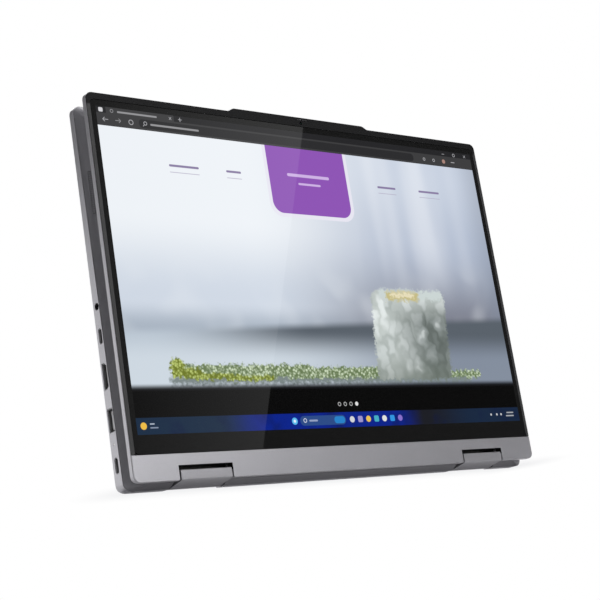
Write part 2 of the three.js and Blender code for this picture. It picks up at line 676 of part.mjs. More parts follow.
// ---- lid ----
function lidOutline(inset) {
  const x = HALF_WIDTH - inset;
  const top = LID_TOP_Z - inset;
  const bottom = LID_EDGE_Z + inset;
  const radius = LID_CORNER - inset;
  const rise = [0, 0.25, 0.5, 0.75, 1];
  const bump = rise.map((t) => [
    BUMP_HALF - inset - BUMP_SLOPE * t,
    top + BUMP_RISE * t * t * (3 - 2 * t),
  ]);
  return [
    ...arc(-x + radius, bottom + radius, radius, 180, 270, 5),
    ...arc(x - radius, bottom + radius, radius, 270, 360, 5),
    ...arc(x - radius, top - radius, radius, 0, 90, 5),
    ...bump,
    ...bump.map(([a, b]) => [-a, b]).reverse(),
    ...arc(-x + radius, top - radius, radius, 90, 180, 5),
  ];
}

function lidNotch(side, grow) {
  return box(
    mirrored([NOTCH_IN - grow, NOTCH_OUT + grow], side),
    [SCREEN_Y - 5, LID_BACK_Y + 5],
    [LID_EDGE_Z - 5, LID_EDGE_Z + LID_NOTCH + grow],
  );
}

function addLidBack() {
  const edge = 0.8;
  const rings = [
    [edge, LID_BACK_Y],
    [edge * 0.3, LID_BACK_Y - edge * 0.3],
    [0, LID_BACK_Y - edge],
    [0, LID_WALL_Y],
  ];
  const outside = loft(rings.map(([inset, y]) => lidOutline(inset).map(([x, z]) => [x, y, z])));
  const pocket = cut(extrude("y", lidOutline(LID_WALL), SCREEN_Y - 1, LID_BACK_Y - LID_SKIN), [
    lidNotch(1, NOTCH_WALL),
    lidNotch(-1, NOTCH_WALL),
  ]);
  const holes = [1, -1].map((side) =>
    rodAlongX(LID_SHAFT_RADIUS + 0.3, mirrored([NOTCH_IN - 3, NOTCH_IN + 1], side), LID_AXIS),
  );
  const cover = cut(outside, [pocket, lidNotch(1, 0), lidNotch(-1, 0), ...holes]);
  addPart("lid_back_cover", cover, GREY_ALUMINIUM);
}

function addLidFront() {
  const chinTop = LID_EDGE_Z + CHIN;
  const across = [-HALF_WIDTH - 5, HALF_WIDTH + 5];
  const above = box(across, [SCREEN_Y - 5, LID_BACK_Y], [chinTop, LID_TOP_Z + 10]);
  const front = extrude("y", lidOutline(0.1), SCREEN_Y, SCREEN_Y + RIM_DEPTH);
  addPart("chin_strip", cut(front, [above, lidNotch(1, 0), lidNotch(-1, 0)]), GREY_ALUMINIUM);
  const glassHole = extrude(
    "y",
    roundedRectangle([-GLASS_X, GLASS_X], [chinTop - 8, GLASS_Z[1]], 3),
    SCREEN_Y - 1,
    SCREEN_Y + 2,
  );
  const through = [SCREEN_Y - 1, SCREEN_Y + 2];
  const lensHole = discAlongY(LENS_RADIUS - 0.2, through, 0, WEBCAM_Z, 16);
  const tabSlot = box([-1.4, SHUTTER_X + 1.4], through, [WEBCAM_Z + 1.7, WEBCAM_Z + 2.7]);
  const aboveSeam = above.translate([0, 0, 0.2]);
  addPart("lid_rim", cut(front.intersect(aboveSeam), [glassHole, lensHole, tabSlot]), RUBBER);
  const glass = roundedRectangle([-GLASS_X + 0.2, GLASS_X - 0.2], [GLASS_Z[0], GLASS_Z[1] - 0.2], 2.8);
  addPart("cover_glass", extrude("y", glass, SCREEN_Y + 0.15, SCREEN_Y + 0.85), GLASS);
  addPart("lcd_panel", block(PANEL), DISPLAY);
}

function addWebcam() {
  const lens = discAlongY(LENS_RADIUS, [SCREEN_Y + 1.3, SCREEN_Y + 2.3], 0, WEBCAM_Z, 16);
  addPart("webcam_lens", lens, GLASS);
  const board = box([-14, 14], [SCREEN_Y + 2.4, SCREEN_Y + 3.3], [WEBCAM_Z - 1.6, WEBCAM_Z + 1.6]);
  addPart("webcam_board", board, BOARD);
  const across = (half) => [SHUTTER_X - half, SHUTTER_X + half];
  const top = WEBCAM_Z + 2.5;
  const blind = box(across(1.7), [SCREEN_Y + 0.75, SCREEN_Y + 1.1], [WEBCAM_Z - 1.5, top]);
  const tab = box(across(1), [SCREEN_Y + 0.1, SCREEN_Y + 0.9], [WEBCAM_Z + 1.85, top]);
  addPart("camera_shutter", blind.add(tab), BLACK_PLASTIC);
}

addDeck();
addBottomCover();
addFeet();
addTouchpad();
addKeys();
SOCKETS.forEach(addSocket);
addJack();
addChargeLight();
addPowerButton();
addBoards();
addCooling();
addFan();
addPowerAndSound();
[-1, 1].forEach(addHinge);
addLidBack();
addLidFront();
addWebcam();

export default group;
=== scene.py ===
"""Looks for a 14-inch convertible laptop, folded round as a tablet and standing on its hinge edge.

Metres, in the CAD frame: +X along the hinge line, +Z from the hinge edge to the free edges, the screen
faces -Y and the keyboard faces +Y.
"""
import json
import math

import bmesh
import bpy
from mathutils import Matrix, Vector


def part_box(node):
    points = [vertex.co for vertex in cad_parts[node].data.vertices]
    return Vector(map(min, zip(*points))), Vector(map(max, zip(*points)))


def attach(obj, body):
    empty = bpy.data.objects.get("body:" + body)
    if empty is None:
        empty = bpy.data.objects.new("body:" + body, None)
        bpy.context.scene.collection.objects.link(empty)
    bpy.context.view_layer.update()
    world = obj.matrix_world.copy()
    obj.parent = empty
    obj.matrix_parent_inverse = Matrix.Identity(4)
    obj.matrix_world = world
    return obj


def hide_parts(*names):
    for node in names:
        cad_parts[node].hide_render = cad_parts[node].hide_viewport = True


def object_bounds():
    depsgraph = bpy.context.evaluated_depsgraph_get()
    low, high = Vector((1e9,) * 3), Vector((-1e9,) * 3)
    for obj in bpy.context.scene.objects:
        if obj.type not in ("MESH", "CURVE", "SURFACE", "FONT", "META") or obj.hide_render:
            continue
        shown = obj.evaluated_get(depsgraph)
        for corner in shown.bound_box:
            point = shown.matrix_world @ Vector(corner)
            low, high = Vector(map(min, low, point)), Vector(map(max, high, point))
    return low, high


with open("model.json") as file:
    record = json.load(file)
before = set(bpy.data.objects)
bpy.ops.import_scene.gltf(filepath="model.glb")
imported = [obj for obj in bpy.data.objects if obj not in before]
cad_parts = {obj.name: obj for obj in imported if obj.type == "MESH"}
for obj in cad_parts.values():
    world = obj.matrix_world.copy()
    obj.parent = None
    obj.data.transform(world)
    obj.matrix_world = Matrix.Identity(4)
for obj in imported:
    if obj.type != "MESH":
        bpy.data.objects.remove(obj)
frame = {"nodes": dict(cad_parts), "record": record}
cad_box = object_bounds()
nodes = frame["nodes"]

MM = 0.001
SCREEN_SIZE = (301.6, 188.5)  # the lit area of a 14-inch 16:10 panel, in mm
SCREEN_ABOVE_CHIN = 10.7  # from the glass's lower edge to the lit area, in mm
GLASS_SHINE = 0.085  # a coated glass mirrors less than a bare one
GLASS_CORNER = 2.8  # radius of the cover glass's corners, in mm
GLASS_EDGE = 0.12  # how far its edge is rounded, in mm
# above RIM_TOP the rim also has a darker colour, which is painted shade
RIM_TOP = 218.0 * MM  # above this the lid's rim is dull


# ---- shader building ----
class Tree:
    """Adds nodes to a material's or world's node tree and links them."""

    def __init__(self, tree):
        self.tree = tree

    def node(self, kind, inputs=None, **settings):
        made = self.tree.nodes.new(kind)
        for key, value in settings.items():
            setattr(made, key, value)
        for key, value in (inputs or {}).items():
            self.put(made.inputs[key], value)
        return made

    def put(self, socket, value):
        if isinstance(value, bpy.types.NodeSocket):
            self.tree.links.new(value, socket)
        else:
            socket.default_value = value

    def math(self, operation, a, b=0.0, clamp=False):
        made = self.node("ShaderNodeMath", {0: a, 1: b}, operation=operation, use_clamp=clamp)
        return made.outputs[0]

    def vector(self, operation, a, b=(0, 0, 0)):
        made = self.node("ShaderNodeVectorMath", {0: a, 1: b}, operation=operation)
        return made.outputs["Value" if operation in ("LENGTH", "DOT_PRODUCT") else "Vector"]

    def mix(self, factor, a, b):
        made = self.node("ShaderNodeMix", data_type="RGBA", clamp_factor=True)
        self.put(made.inputs[0], factor)
        self.put(made.inputs[6], a)
        self.put(made.inputs[7], b)
        return made.outputs[2]

    def blend_numbers(self, factor, a, b):
        made = self.node("ShaderNodeMapRange", {"Value": factor, "To Min": a, "To Max": b})
        return made.outputs[0]

    def step(self, value, low, high):
        """0 below low and 1 above high, smooth between them. With low above high it falls instead."""
        inputs = {"Value": value, "From Min": min(low, high), "From Max": max(low, high)}
        made = self.node("ShaderNodeMapRange", inputs, interpolation_type="SMOOTHSTEP")
        if low <= high:
            return made.outputs[0]
        return self.math("SUBTRACT", 1.0, made.outputs[0])

    def noise(self, vector, scale, detail=2.0, roughness=0.5):
        inputs = {"Vector": vector, "Scale": scale, "Detail": detail, "Roughness": roughness}
        return self.node("ShaderNodeTexNoise", inputs).outputs[0]

    def grain(self, place, size):
        """The fine texture of a blasted or moulded surface; size is in mm."""
        return self.noise(place, 1 / (size * MM), 3.0, 0.6)

    def wear(self, place):
        """Blotches about 5 mm across, where a surface is handled to more or less shine."""
        return self.noise(place, 190.0, 4.0, 0.6)

    def scatter(self, vector, scale, detail):
        """Noise in three directions at once, each from 0 to 1."""
        inputs = {"Vector": vector, "Scale": scale, "Detail": detail}
        return self.node("ShaderNodeTexNoise", inputs).outputs["Color"]

    def bump(self, height, distance, strength=1.0):
        inputs = {"Height": height, "Distance": distance, "Strength": strength}
        return self.node("ShaderNodeBump", inputs).outputs[0]


def rgba(colour):
    return (*colour, 1.0)


def new_material(name):
    """A material with one Principled shader: (material, tree, shader, object coordinates)."""
    material = bpy.data.materials.new(name)
    material.use_nodes = True
    tree = Tree(material.node_tree)
    shader = material.node_tree.nodes["Principled BSDF"]
    place = tree.node("ShaderNodeTexCoord").outputs["Object"]
    return material, tree, shader, place


def grained(
    name, colour, roughness, metallic=0.0, grain=0.3, depth=0.006, shift=0.08, gloss_shift=0.06, shine=0.5,
):
    """A blasted or moulded surface.

    grain is the size of its texture and depth its height, both in mm. shift and gloss_shift say how far
    its colour and its roughness vary, and shine is its specular level.
    """
    material, tree, shader, place = new_material(name)
    fine = tree.grain(place, grain)
    broad = tree.noise(place, 28.0, 3.0, 0.55)
    darker = rgba([c * (1 - shift) for c in colour])
    lighter = rgba([c * (1 + shift) for c in colour])
    speck = tree.math("ADD", tree.math("MULTIPLY", fine, 0.8), tree.math("MULTIPLY", broad, 0.2))
    tree.put(shader.inputs["Base Color"], tree.mix(tree.step(speck, 0.35, 0.65), darker, lighter))
    gloss = tree.blend_numbers(tree.wear(place), roughness - gloss_shift, roughness + gloss_shift)
    tree.put(shader.inputs["Roughness"], gloss)
    tree.put(shader.inputs["Normal"], tree.bump(fine, depth * MM))
    shader.inputs["Metallic"].default_value = metallic
    shader.inputs["Specular IOR Level"].default_value = shine
    return material


def rounded_box_group():
    """A node group: how far a point is inside a rounded rectangle, as 0 outside to 1 inside."""
    group = bpy.data.node_groups.new("rounded_box", "ShaderNodeTree")
    sockets = {"Point": "Vector", "Centre": "Vector", "Core": "Vector", "Radius": "Float", "Soft": "Float"}
    for name, kind in sockets.items():
        group.interface.new_socket(name, in_out="INPUT", socket_type="NodeSocket" + kind)
    group.interface.new_socket("Mask", in_out="OUTPUT", socket_type="NodeSocketFloat")
    tree = Tree(group)
    given = tree.node("NodeGroupInput").outputs
    away = tree.vector("ABSOLUTE", tree.vector("SUBTRACT", given["Point"], given["Centre"]))
    past = tree.vector("SUBTRACT", away, given["Core"])
    outside = tree.vector("LENGTH", tree.vector("MAXIMUM", past, (0, 0, 0)))
    split = tree.node("ShaderNodeSeparateXYZ", {0: past}).outputs
    inside = tree.math("MINIMUM", tree.math("MAXIMUM", split[0], split[1]), 0.0)
    distance = tree.math("SUBTRACT", tree.math("ADD", outside, inside), given["Radius"])
    mask = tree.math("SUBTRACT", 0.5, tree.math("DIVIDE", distance, given["Soft"]), clamp=True)
    tree.node("NodeGroupOutput", {"Mask": mask})
    return group


def box_mask(tree, point, x, y, radius=0.0, soft=0.25):
    """1 inside the rounded rectangle of spans x and y and 0 outside it, soft wide between them."""
    group = bpy.data.node_groups.get("rounded_box") or rounded_box_group()
    made = tree.node("ShaderNodeGroup", node_tree=group)
    tree.put(made.inputs["Point"], point)
    made.inputs["Centre"].default_value = ((x[0] + x[1]) / 2, (y[0] + y[1]) / 2, 0)
    made.inputs["Core"].default_value = ((x[1] - x[0]) / 2 - radius, (y[1] - y[0]) / 2 - radius, 0)
    made.inputs["Radius"].default_value = radius
    made.inputs["Soft"].default_value = soft
    return made.outputs[0]


class Picture:
    """Paints flat shapes over each other. Places are mm from the lit area's lower left corner."""

    def __init__(self, tree, x, y, ground):
        self.tree = tree
        self.x = x
        self.y = y
        self.point = tree.node("ShaderNodeCombineXYZ", {0: x, 1: y}).outputs[0]
        self.colour = rgba(ground)

    def paint(self, mask, colour):
        self.colour = self.tree.mix(mask, self.colour, colour)

    def box(self, x, y, colour, radius=0.0, soft=0.25):
        self.paint(box_mask(self.tree, self.point, x, y, radius, soft), rgba(colour))

    def disc(self, x, y, radius, colour, soft=0.25):
        self.box((x - radius, x + radius), (y - radius, y + radius), colour, radius, soft)

    def ring(self, x, y, radius, width, colour, soft=0.25):
        away = self.tree.vector("LENGTH", self.tree.vector("SUBTRACT", self.point, (x, y, 0)))
        off = self.tree.math("ABSOLUTE", self.tree.math("SUBTRACT", away, radius - width / 2))
        share = self.tree.math("DIVIDE", self.tree.math("SUBTRACT", off, width / 2), soft)
        self.paint(self.tree.math("SUBTRACT", 0.5, share, clamp=True), rgba(colour))

    def line(self, start, end, width, colour, soft=0.25):
        """A stroke from start to end, as a thin box in turned coordinates."""
        run = Vector(end) - Vector(start)
        angle = math.atan2(run.y, run.x)
        inputs = {"Vector": self.point, "Angle": -angle}
        turned = self.tree.node("ShaderNodeVectorRotate", inputs, rotation_type="Z_AXIS")
        turned.inputs["Center"].default_value = (*start, 0)
        x = (start[0], start[0] + run.length)
        y = (start[1] - width / 2, start[1] + width / 2)
        mask = box_mask(self.tree, turned.outputs[0], x, y, width / 2 - 0.01, soft)
        self.paint(mask, rgba(colour))

    def cross(self, x, y, size, colour):
        """Two crossed strokes in the square whose lower left corner is at (x, y)."""
        for start, end in ((y, y + size), (y + size, y)):
            self.line((x, start), (x + size, end), 0.3, colour)


# ---- screen picture and glass ----
BEYOND = (-5, SCREEN_SIZE[0] + 5)  # a span that reaches past both sides
PAGE = (23.8, 177.0)  # the page's lower and upper edge
TOOLBAR_TOP = 184.7
TASKBAR_TOP = 9.2
INK = (0.45, 0.45, 0.47)
FAINT = (0.3, 0.3, 0.31)
BAR = (0.046, 0.046, 0.048)
UNDER_PAGE = (0.004, 0.004, 0.005)
BLOCK_X = (183.5, 248.0)  # the sides of the standing roll
BLOCK_MIDDLE = 58.0
BLOCK_LEAN = 0.1  # how far it leans over, for each mm of height


def paint_backdrop(picture):
    """A pale, blurred room over a dark shelf."""
    tree, x, y = picture.tree, picture.x, picture.y
    left = tree.mix(tree.step(y, 60.0, 76.0), rgba((0.4, 0.46, 0.54)), rgba((0.62, 0.68, 0.77)))
    left = tree.mix(tree.step(y, 78.0, 128.0), left, rgba((0.85, 0.885, 0.925)))
    right = tree.mix(tree.step(y, 60.0, 122.0), rgba((0.2, 0.21, 0.26)), rgba((0.44, 0.5, 0.62)))
    right = tree.mix(tree.step(y, 105.0, 170.0), right, rgba((0.58, 0.64, 0.75)))
    room = tree.mix(tree.step(x, 95.0, 235.0), left, right)
    folds = tree.noise(tree.vector("MULTIPLY", picture.point, (0.034, 0.003, 0)), 1.0, 1.0)
    light = tree.math("MULTIPLY", tree.step(folds, 0.36, 0.72), tree.step(y, 70.0, 125.0))
    light = tree.math("MULTIPLY", light, tree.step(x, 165.0, 200.0))
    room = tree.mix(tree.math("MULTIPLY", light, 0.5), room, rgba((0.86, 0.89, 0.94)))
    cloud = tree.step(tree.noise(picture.point, 0.03, 1.0), 0.45, 0.7)
    low = tree.math("MULTIPLY", cloud, tree.step(y, 118.0, 72.0))
    room = tree.mix(tree.math("MULTIPLY", low, 0.3), room, rgba((0.78, 0.82, 0.87)))
    room = tree.mix(tree.math("MULTIPLY", tree.step(x, 278.0, 306.0), 0.5), room, rgba((0.22, 0.26, 0.34)))
    shade = tree.mix(tree.step(x, 10.0, 135.0), rgba((0.48, 0.55, 0.63)), rgba((0.1, 0.12, 0.145)))
    near = tree.mix(tree.step(x, 90.0, 250.0), rgba((0.61, 0.68, 0.75)), rgba((0.23, 0.27, 0.34)))
    table = tree.mix(tree.step(y, 40.0, 60.0), near, shade)
    slope = tree.math("SUBTRACT", y, tree.math("MULTIPLY", x, 0.042))
    picture.colour = tree.mix(tree.step(slope, 60.0, 54.0), room, table)


def paint_strip(picture, point):
    """A green crumbled strip with a thick end at the left; point is the place moved about by noise."""
    tree = picture.tree
    crumbs = tree.node("ShaderNodeTexVoronoi", {"Vector": picture.point, "Scale": 0.62})
    tone = tree.node("ShaderNodeSeparateColor", {0: crumbs.outputs["Color"]}).outputs[0]
    round_off = tree.step(crumbs.outputs[0], 0.75, 0.15)
    lit = tree.math("MULTIPLY", tree.math("ADD", tone, 0.35), round_off)
    dusty = tree.mix(lit, rgba((0.14, 0.2, 0.09)), rgba((0.6, 0.7, 0.5)))
    solid = tree.mix(lit, rgba((0.15, 0.185, 0.015)), rgba((0.48, 0.57, 0.16)))
    shade = rgba((0.2, 0.24, 0.24))
    for x, y, soft, coat in (
        ((26, 262), (27.0, 31.5), 3.0, shade),
        ((32, 130), (30.4, 38.6), 1.4, dusty),
        ((110, 240), (30.0, 37.0), 1.4, dusty),
        ((238, 272), (30.0, 34.6), 1.4, dusty),
        ((26.5, 37), (32.0, 42.6), 1.4, solid),
        ((27, 47), (31.0, 36.6), 1.4, solid),
        ((40, 70), (29.8, 33.8), 1.4, solid),
        ((66, 99), (29.0, 32.2), 1.4, solid),
    ):
        radius = min(y[1] - y[0], x[1] - x[0]) / 2 - 0.1
        picture.paint(box_mask(tree, point, x, y, radius, soft), coat)


def paint_block(picture, point):
    """A standing roll of pale grains, lit from the left, with a yellow top."""
    tree, x, y = picture.tree, picture.x, picture.y
    lean = tree.math("MULTIPLY", tree.math("SUBTRACT", y, BLOCK_MIDDLE), BLOCK_LEAN)
    point = tree.vector("SUBTRACT", point, tree.node("ShaderNodeCombineXYZ", {0: lean}).outputs[0])
    drift = tree.scatter(picture.point, 0.13, 1.0)
    bent = tree.vector("ADD", picture.point, tree.vector("MULTIPLY", drift, (11.0, 11.0, 0)))
    upright = tree.vector("MULTIPLY", bent, (1.0, 0.66, 1.0))
    cells = tree.node("ShaderNodeTexVoronoi", {"Vector": upright, "Scale": 0.125}, feature="SMOOTH_F1")
    cells.inputs["Smoothness"].default_value = 0.35
    tone = tree.node("ShaderNodeSeparateColor", {0: cells.outputs["Color"]}).outputs[0]
    pale = tree.mix(tone, rgba((0.57, 0.62, 0.61)), rgba((0.77, 0.82, 0.81)))
    dim = tree.mix(tone, rgba((0.15, 0.175, 0.165)), rgba((0.31, 0.345, 0.34)))
    body = tree.mix(tree.math("MULTIPLY", tree.step(x, 188.0, 236.0), tree.step(y, 84.0, 66.0)), pale, dim)
    seam = tree.vector("MULTIPLY", body, (0.74, 0.755, 0.74))
    body = tree.mix(tree.step(cells.outputs[0], 0.62, 0.3), seam, body)
    gloss = tree.math("MULTIPLY", tree.step(cells.outputs[0], 0.32, 0.1), tree.step(tone, 0.45, 0.8))
    body = tree.mix(tree.math("MULTIPLY", gloss, 0.45), body, rgba((0.82, 0.87, 0.86)))
    body = tree.mix(tree.math("MULTIPLY", tree.step(y, 48.0, 27.0), 0.6), body, rgba((0.13, 0.16, 0.13)))
    picture.paint(box_mask(tree, point, BLOCK_X, (28.8, 86.5), 4.0, 1.6), body)
    picture.paint(box_mask(tree, point, (190, 246), (81.5, 87.4), 2.6, 2.6), rgba((0.6, 0.67, 0.66)))
    picture.paint(box_mask(tree, point, (196, 225), (80.5, 86.4), 2.4, 2.2), rgba((0.56, 0.5, 0.24)))
    picture.paint(box_mask(tree, point, (200, 221), (82.8, 85.4), 1.1, 1.6), rgba((0.8, 0.73, 0.5)))


def paint_card(picture):
    """A plain violet card with a pale edge and two bars, hanging from the top of the page."""
    above = PAGE[1] + 20
    lilac = (0.62, 0.45, 0.78)
    picture.box((116, 184), (131, above), (0.8, 0.79, 0.88), 9.0)
    picture.box((118.5, 181.5), (133.5, above), (0.27, 0.09, 0.46), 7.5)
    picture.box((133, 167), (158, 160), lilac, 1.0)
    picture.box((141, 159), (152.8, 154.2), lilac, 0.65)


def paint_page(picture):
    """A still life in a pale room, four short menu bars and a card."""
    tree = picture.tree
    paint_backdrop(picture)
    rough = tree.scatter(picture.point, 0.45, 3.0)
    shift = tree.vector("MULTIPLY", tree.vector("SUBTRACT", rough, (0.5, 0.5, 0.5)), (7.0, 7.0, 0))
    point = tree.vector("ADD", picture.point, shift)
    paint_strip(picture, point)
    paint_block(picture, point)
    rise = tree.step(picture.y, PAGE[0], PAGE[0] + 4.5)
    picture.colour = tree.mix(tree.math("MULTIPLY", rise, rise), rgba(UNDER_PAGE), picture.colour)
    paint_card(picture)
    for low, high in ((45, 66), (86, 97), (208, 224), (245, 264)):
        picture.box((low, high), (156.2, 157.6), (0.25, 0.2, 0.36), 0.65)
        picture.box((low, high), (152.6, 153.0), (0.45, 0.42, 0.55), 0.2)


def paint_browser(picture):
    """A dark tab strip and toolbar with plain line symbols."""
    picture.box(BEYOND, (TOOLBAR_TOP, 200), (0.018, 0.018, 0.02))
    picture.box((6.5, 53.0), (TOOLBAR_TOP - 3, 189.2), BAR, 1.2)
    picture.box((28, 246), (PAGE[1] + 1.2, TOOLBAR_TOP - 1.1), (0.024, 0.024, 0.026), 2.4)
    low = TOOLBAR_TOP + 0.5
    picture.box((1.7, 4.5), (low, low + 2.6), (0.66, 0.66, 0.68), 0.7)
    picture.ring(10.4, low + 1.2, 1.1, 0.35, FAINT)
    picture.box((14, 41), (low + 0.4, low + 1.5), FAINT, 0.5)
    picture.cross(49.6, low + 0.4, 1.6, INK)
    picture.box((56.0, 58.6), (low + 1.0, low + 1.3), INK, 0.1)
    picture.box((57.1, 57.5), (low - 0.1, low + 2.4), INK, 0.1)
    middle = (PAGE[1] + TOOLBAR_TOP) / 2
    for tip, way, ink in ((3.8, 1, INK), (15.7, -1, FAINT)):
        picture.line((min(tip, tip + 3.6 * way), middle), (max(tip, tip + 3.6 * way), middle), 0.35, ink)
        for rise in (1.3, -1.3):
            picture.line((tip, middle), (tip + 1.3 * way, middle + rise), 0.35, ink)
    picture.ring(22.6, middle, 1.6, 0.4, INK)
    picture.ring(32.4, middle + 0.4, 1.2, 0.35, INK)
    picture.line((31.6, middle - 0.5), (30.7, middle - 1.5), 0.35, INK)
    picture.box((35.8, 70), (middle - 0.6, middle + 0.6), FAINT, 0.5)
    picture.ring(256, middle, 1.1, 0.4, INK)
    picture.ring(265, middle, 1.1, 0.4, INK)
    picture.disc(274.5, middle, 1.5, (0.4, 0.24, 0.2))
    picture.box((281.5, 285.0), (middle - 0.25, middle + 0.25), INK, 0.2)
    picture.box((274, 276.4), (low + 0.9, low + 1.2), INK, 0.1)
    picture.ring(285.4, low + 1.1, 1.2, 0.35, INK)
    picture.cross(295.0, low + 0.2, 1.8, INK)


def paint_taskbar(picture):
    """Four page dots on black over a blue bar with plain coloured tiles in the middle."""
    tree, x, y = picture.tree, picture.x, picture.y
    for spot in (145.4, 150.0, 154.6):
        picture.ring(spot, 14.2, 1.25, 0.4, (0.5, 0.5, 0.5))
    picture.disc(159.2, 14.2, 1.25, (0.75, 0.75, 0.75))
    blue = tree.mix(tree.step(x, 55.0, 92.0), rgba((0.008, 0.024, 0.056)), rgba((0.002, 0.016, 0.25)))
    blue = tree.mix(tree.step(x, 190.0, 214.0), blue, rgba((0.01, 0.011, 0.016)))
    blue = tree.mix(tree.step(x, 215.0, 262.0), blue, rgba((0.008, 0.02, 0.05)))
    haze = tree.step(tree.noise(picture.point, 0.06, 2.0), 0.45, 0.7)
    blue = tree.mix(tree.math("MULTIPLY", haze, 0.5), blue, rgba((0.003, 0.008, 0.05)))
    picture.colour = tree.mix(tree.step(y, TASKBAR_TOP - 0.15, TASKBAR_TOP + 0.15), blue, picture.colour)
    middle = TASKBAR_TOP / 2 + 0.1
    picture.disc(4.5, middle, 2.0, (0.85, 0.5, 0.06))
    picture.box((8.6, 11.6), (middle + 0.7, middle + 1.4), (0.42, 0.48, 0.58), 0.3)
    picture.box((8.6, 13.8), (middle - 1.4, middle - 0.7), (0.24, 0.29, 0.4), 0.3)
    picture.disc(109.0, middle, 2.1, (0.1, 0.48, 0.85))
    picture.disc(109.0, middle, 0.9, (0.75, 0.88, 0.98))
    picture.box((113.2, 148.5), (middle - 2.9, middle + 2.9), (0.025, 0.07, 0.24), 2.8)
    picture.ring(116.9, middle + 0.2, 1.3, 0.4, (0.7, 0.75, 0.9))
    picture.box((120, 126.5), (middle - 0.55, middle + 0.55), (0.3, 0.36, 0.55), 0.5)
    picture.box((139.5, 147.8), (middle - 2.1, middle + 2.1), (0.02, 0.22, 0.58), 1.9)
    tiles = (
        (0.66, 0.67, 0.7), (0.34, 0.3, 0.6), (0.85, 0.55, 0.08), (0.06, 0.42, 0.55),
        (0.75, 0.77, 0.74), (0.03, 0.3, 0.75), (0.25, 0.16, 0.6),
    )
    for i, tile in enumerate(tiles):
        left = 151.7 + i * 6.6
        picture.box((left, left + 3.8), (middle - 1.9, middle + 1.9), tile, (1.9, 0.9)[i % 2])
    for spot in (275, 280.5, 284.5):
        picture.disc(spot, middle + 0.1, 0.75, (0.55, 0.57, 0.6))
    picture.box((290, 296.5), (middle + 0.7, middle + 1.5), (0.4, 0.42, 0.45), 0.3)
    picture.box((289, 296.5), (middle - 1.4, middle - 0.6), (0.4, 0.42, 0.45), 0.3)


def glass(name, painter=None, ground=(0, 0, 0), body=0.0028):
    """Black coated glass. A painter lights the picture behind it."""
    material, tree, shader, place = new_material(name)
    cells = tree.noise(place, 1 / (0.6 * MM), 2.0)
    black = tree.mix(tree.step(cells, 0.3, 0.7), rgba([body * 0.8] * 3), rgba([body * 1.25] * 3))
    tree.put(shader.inputs["Base Color"], black)
    smears = tree.noise(place, 16.0, 3.0)
    tree.put(shader.inputs["Roughness"], tree.blend_numbers(smears, 0.004, 0.02))
    shader.inputs["Specular IOR Level"].default_value = GLASS_SHINE
    if painter:
        low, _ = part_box("cover_glass")
        corner = Vector((-SCREEN_SIZE[0] * MM / 2, 0, low.z + SCREEN_ABOVE_CHIN * MM))
        split = tree.node("ShaderNodeSeparateXYZ", {0: tree.vector("SUBTRACT", place, corner)})
        x = tree.math("MULTIPLY", split.outputs[0], 1 / MM)
        y = tree.math("MULTIPLY", split.outputs[2], 1 / MM)
        picture = Picture(tree, x, y, ground)
        painter(picture)
        tree.put(shader.inputs["Emission Color"], picture.colour)
        shader.inputs["Emission Strength"].default_value = 1.0
    return material


def rim_material():
    """Black moulding, satin down the sides; along the top it has less shine and a darker colour, the darker
    colour being painted shade.
    """
    material, tree, shader, place = new_material("rim")
    height = tree.node("ShaderNodeSeparateXYZ", {0: place}).outputs[2]
    top = tree.step(height, RIM_TOP - MM, RIM_TOP)
    fine = tree.step(tree.grain(place, 0.25), 0.35, 0.65)
    side = tree.mix(fine, rgba((0.0125, 0.0125, 0.0135)), rgba((0.0155, 0.0155, 0.0165)))
    # painted shade: the top of the same moulding is given a darker colour than its sides
    dull_and_painted_dark = tree.mix(fine, rgba((0.004, 0.004, 0.0045)), rgba((0.0055, 0.0055, 0.006)))
    tree.put(shader.inputs["Base Color"], tree.mix(top, side, dull_and_painted_dark))
    tree.put(shader.inputs["Specular IOR Level"], tree.blend_numbers(top, 0.5, 0.14))
    tree.put(shader.inputs["Roughness"], tree.blend_numbers(tree.wear(place), 0.49, 0.61))
    tree.put(shader.inputs["Normal"], tree.bump(fine, 0.004 * MM))
    return material


# ---- camera, stage and light ----
SENSOR = 36.0  # mm
LENS = 86.5  # mm
CAMERA_AZIMUTH = -40.74  # degrees; 0 looks along +Y
CAMERA_ELEVATION = -13.12
CAMERA_ROLL = -9.0
CAMERA_DISTANCE = 0.8661
AIM = Vector((-0.0235, -0.00985, 0.1068))
FLOOR_SIZE = 12.0
FLOOR_GAP = 0.0002  # keeps the floor from touching the foot of the computer


def add_camera():
    data = bpy.data.cameras.new("camera")
    data.lens = LENS
    data.sensor_width = SENSOR
    data.clip_start = 0.01
    camera = bpy.data.objects.new("camera", data)
    bpy.context.scene.collection.objects.link(camera)
    azimuth = math.radians(CAMERA_AZIMUTH)
    elevation = math.radians(CAMERA_ELEVATION)
    back = Vector((
        math.sin(azimuth) * math.cos(elevation),
        -math.cos(azimuth) * math.cos(elevation),
        math.sin(elevation),
    ))
    turn = back.to_track_quat("Z", "Y").to_matrix().to_4x4()
    roll = Matrix.Rotation(math.radians(CAMERA_ROLL), 4, "Z")
    camera.matrix_world = Matrix.Translation(AIM + back * CAMERA_DISTANCE) @ turn @ roll
    bpy.context.scene.camera = camera


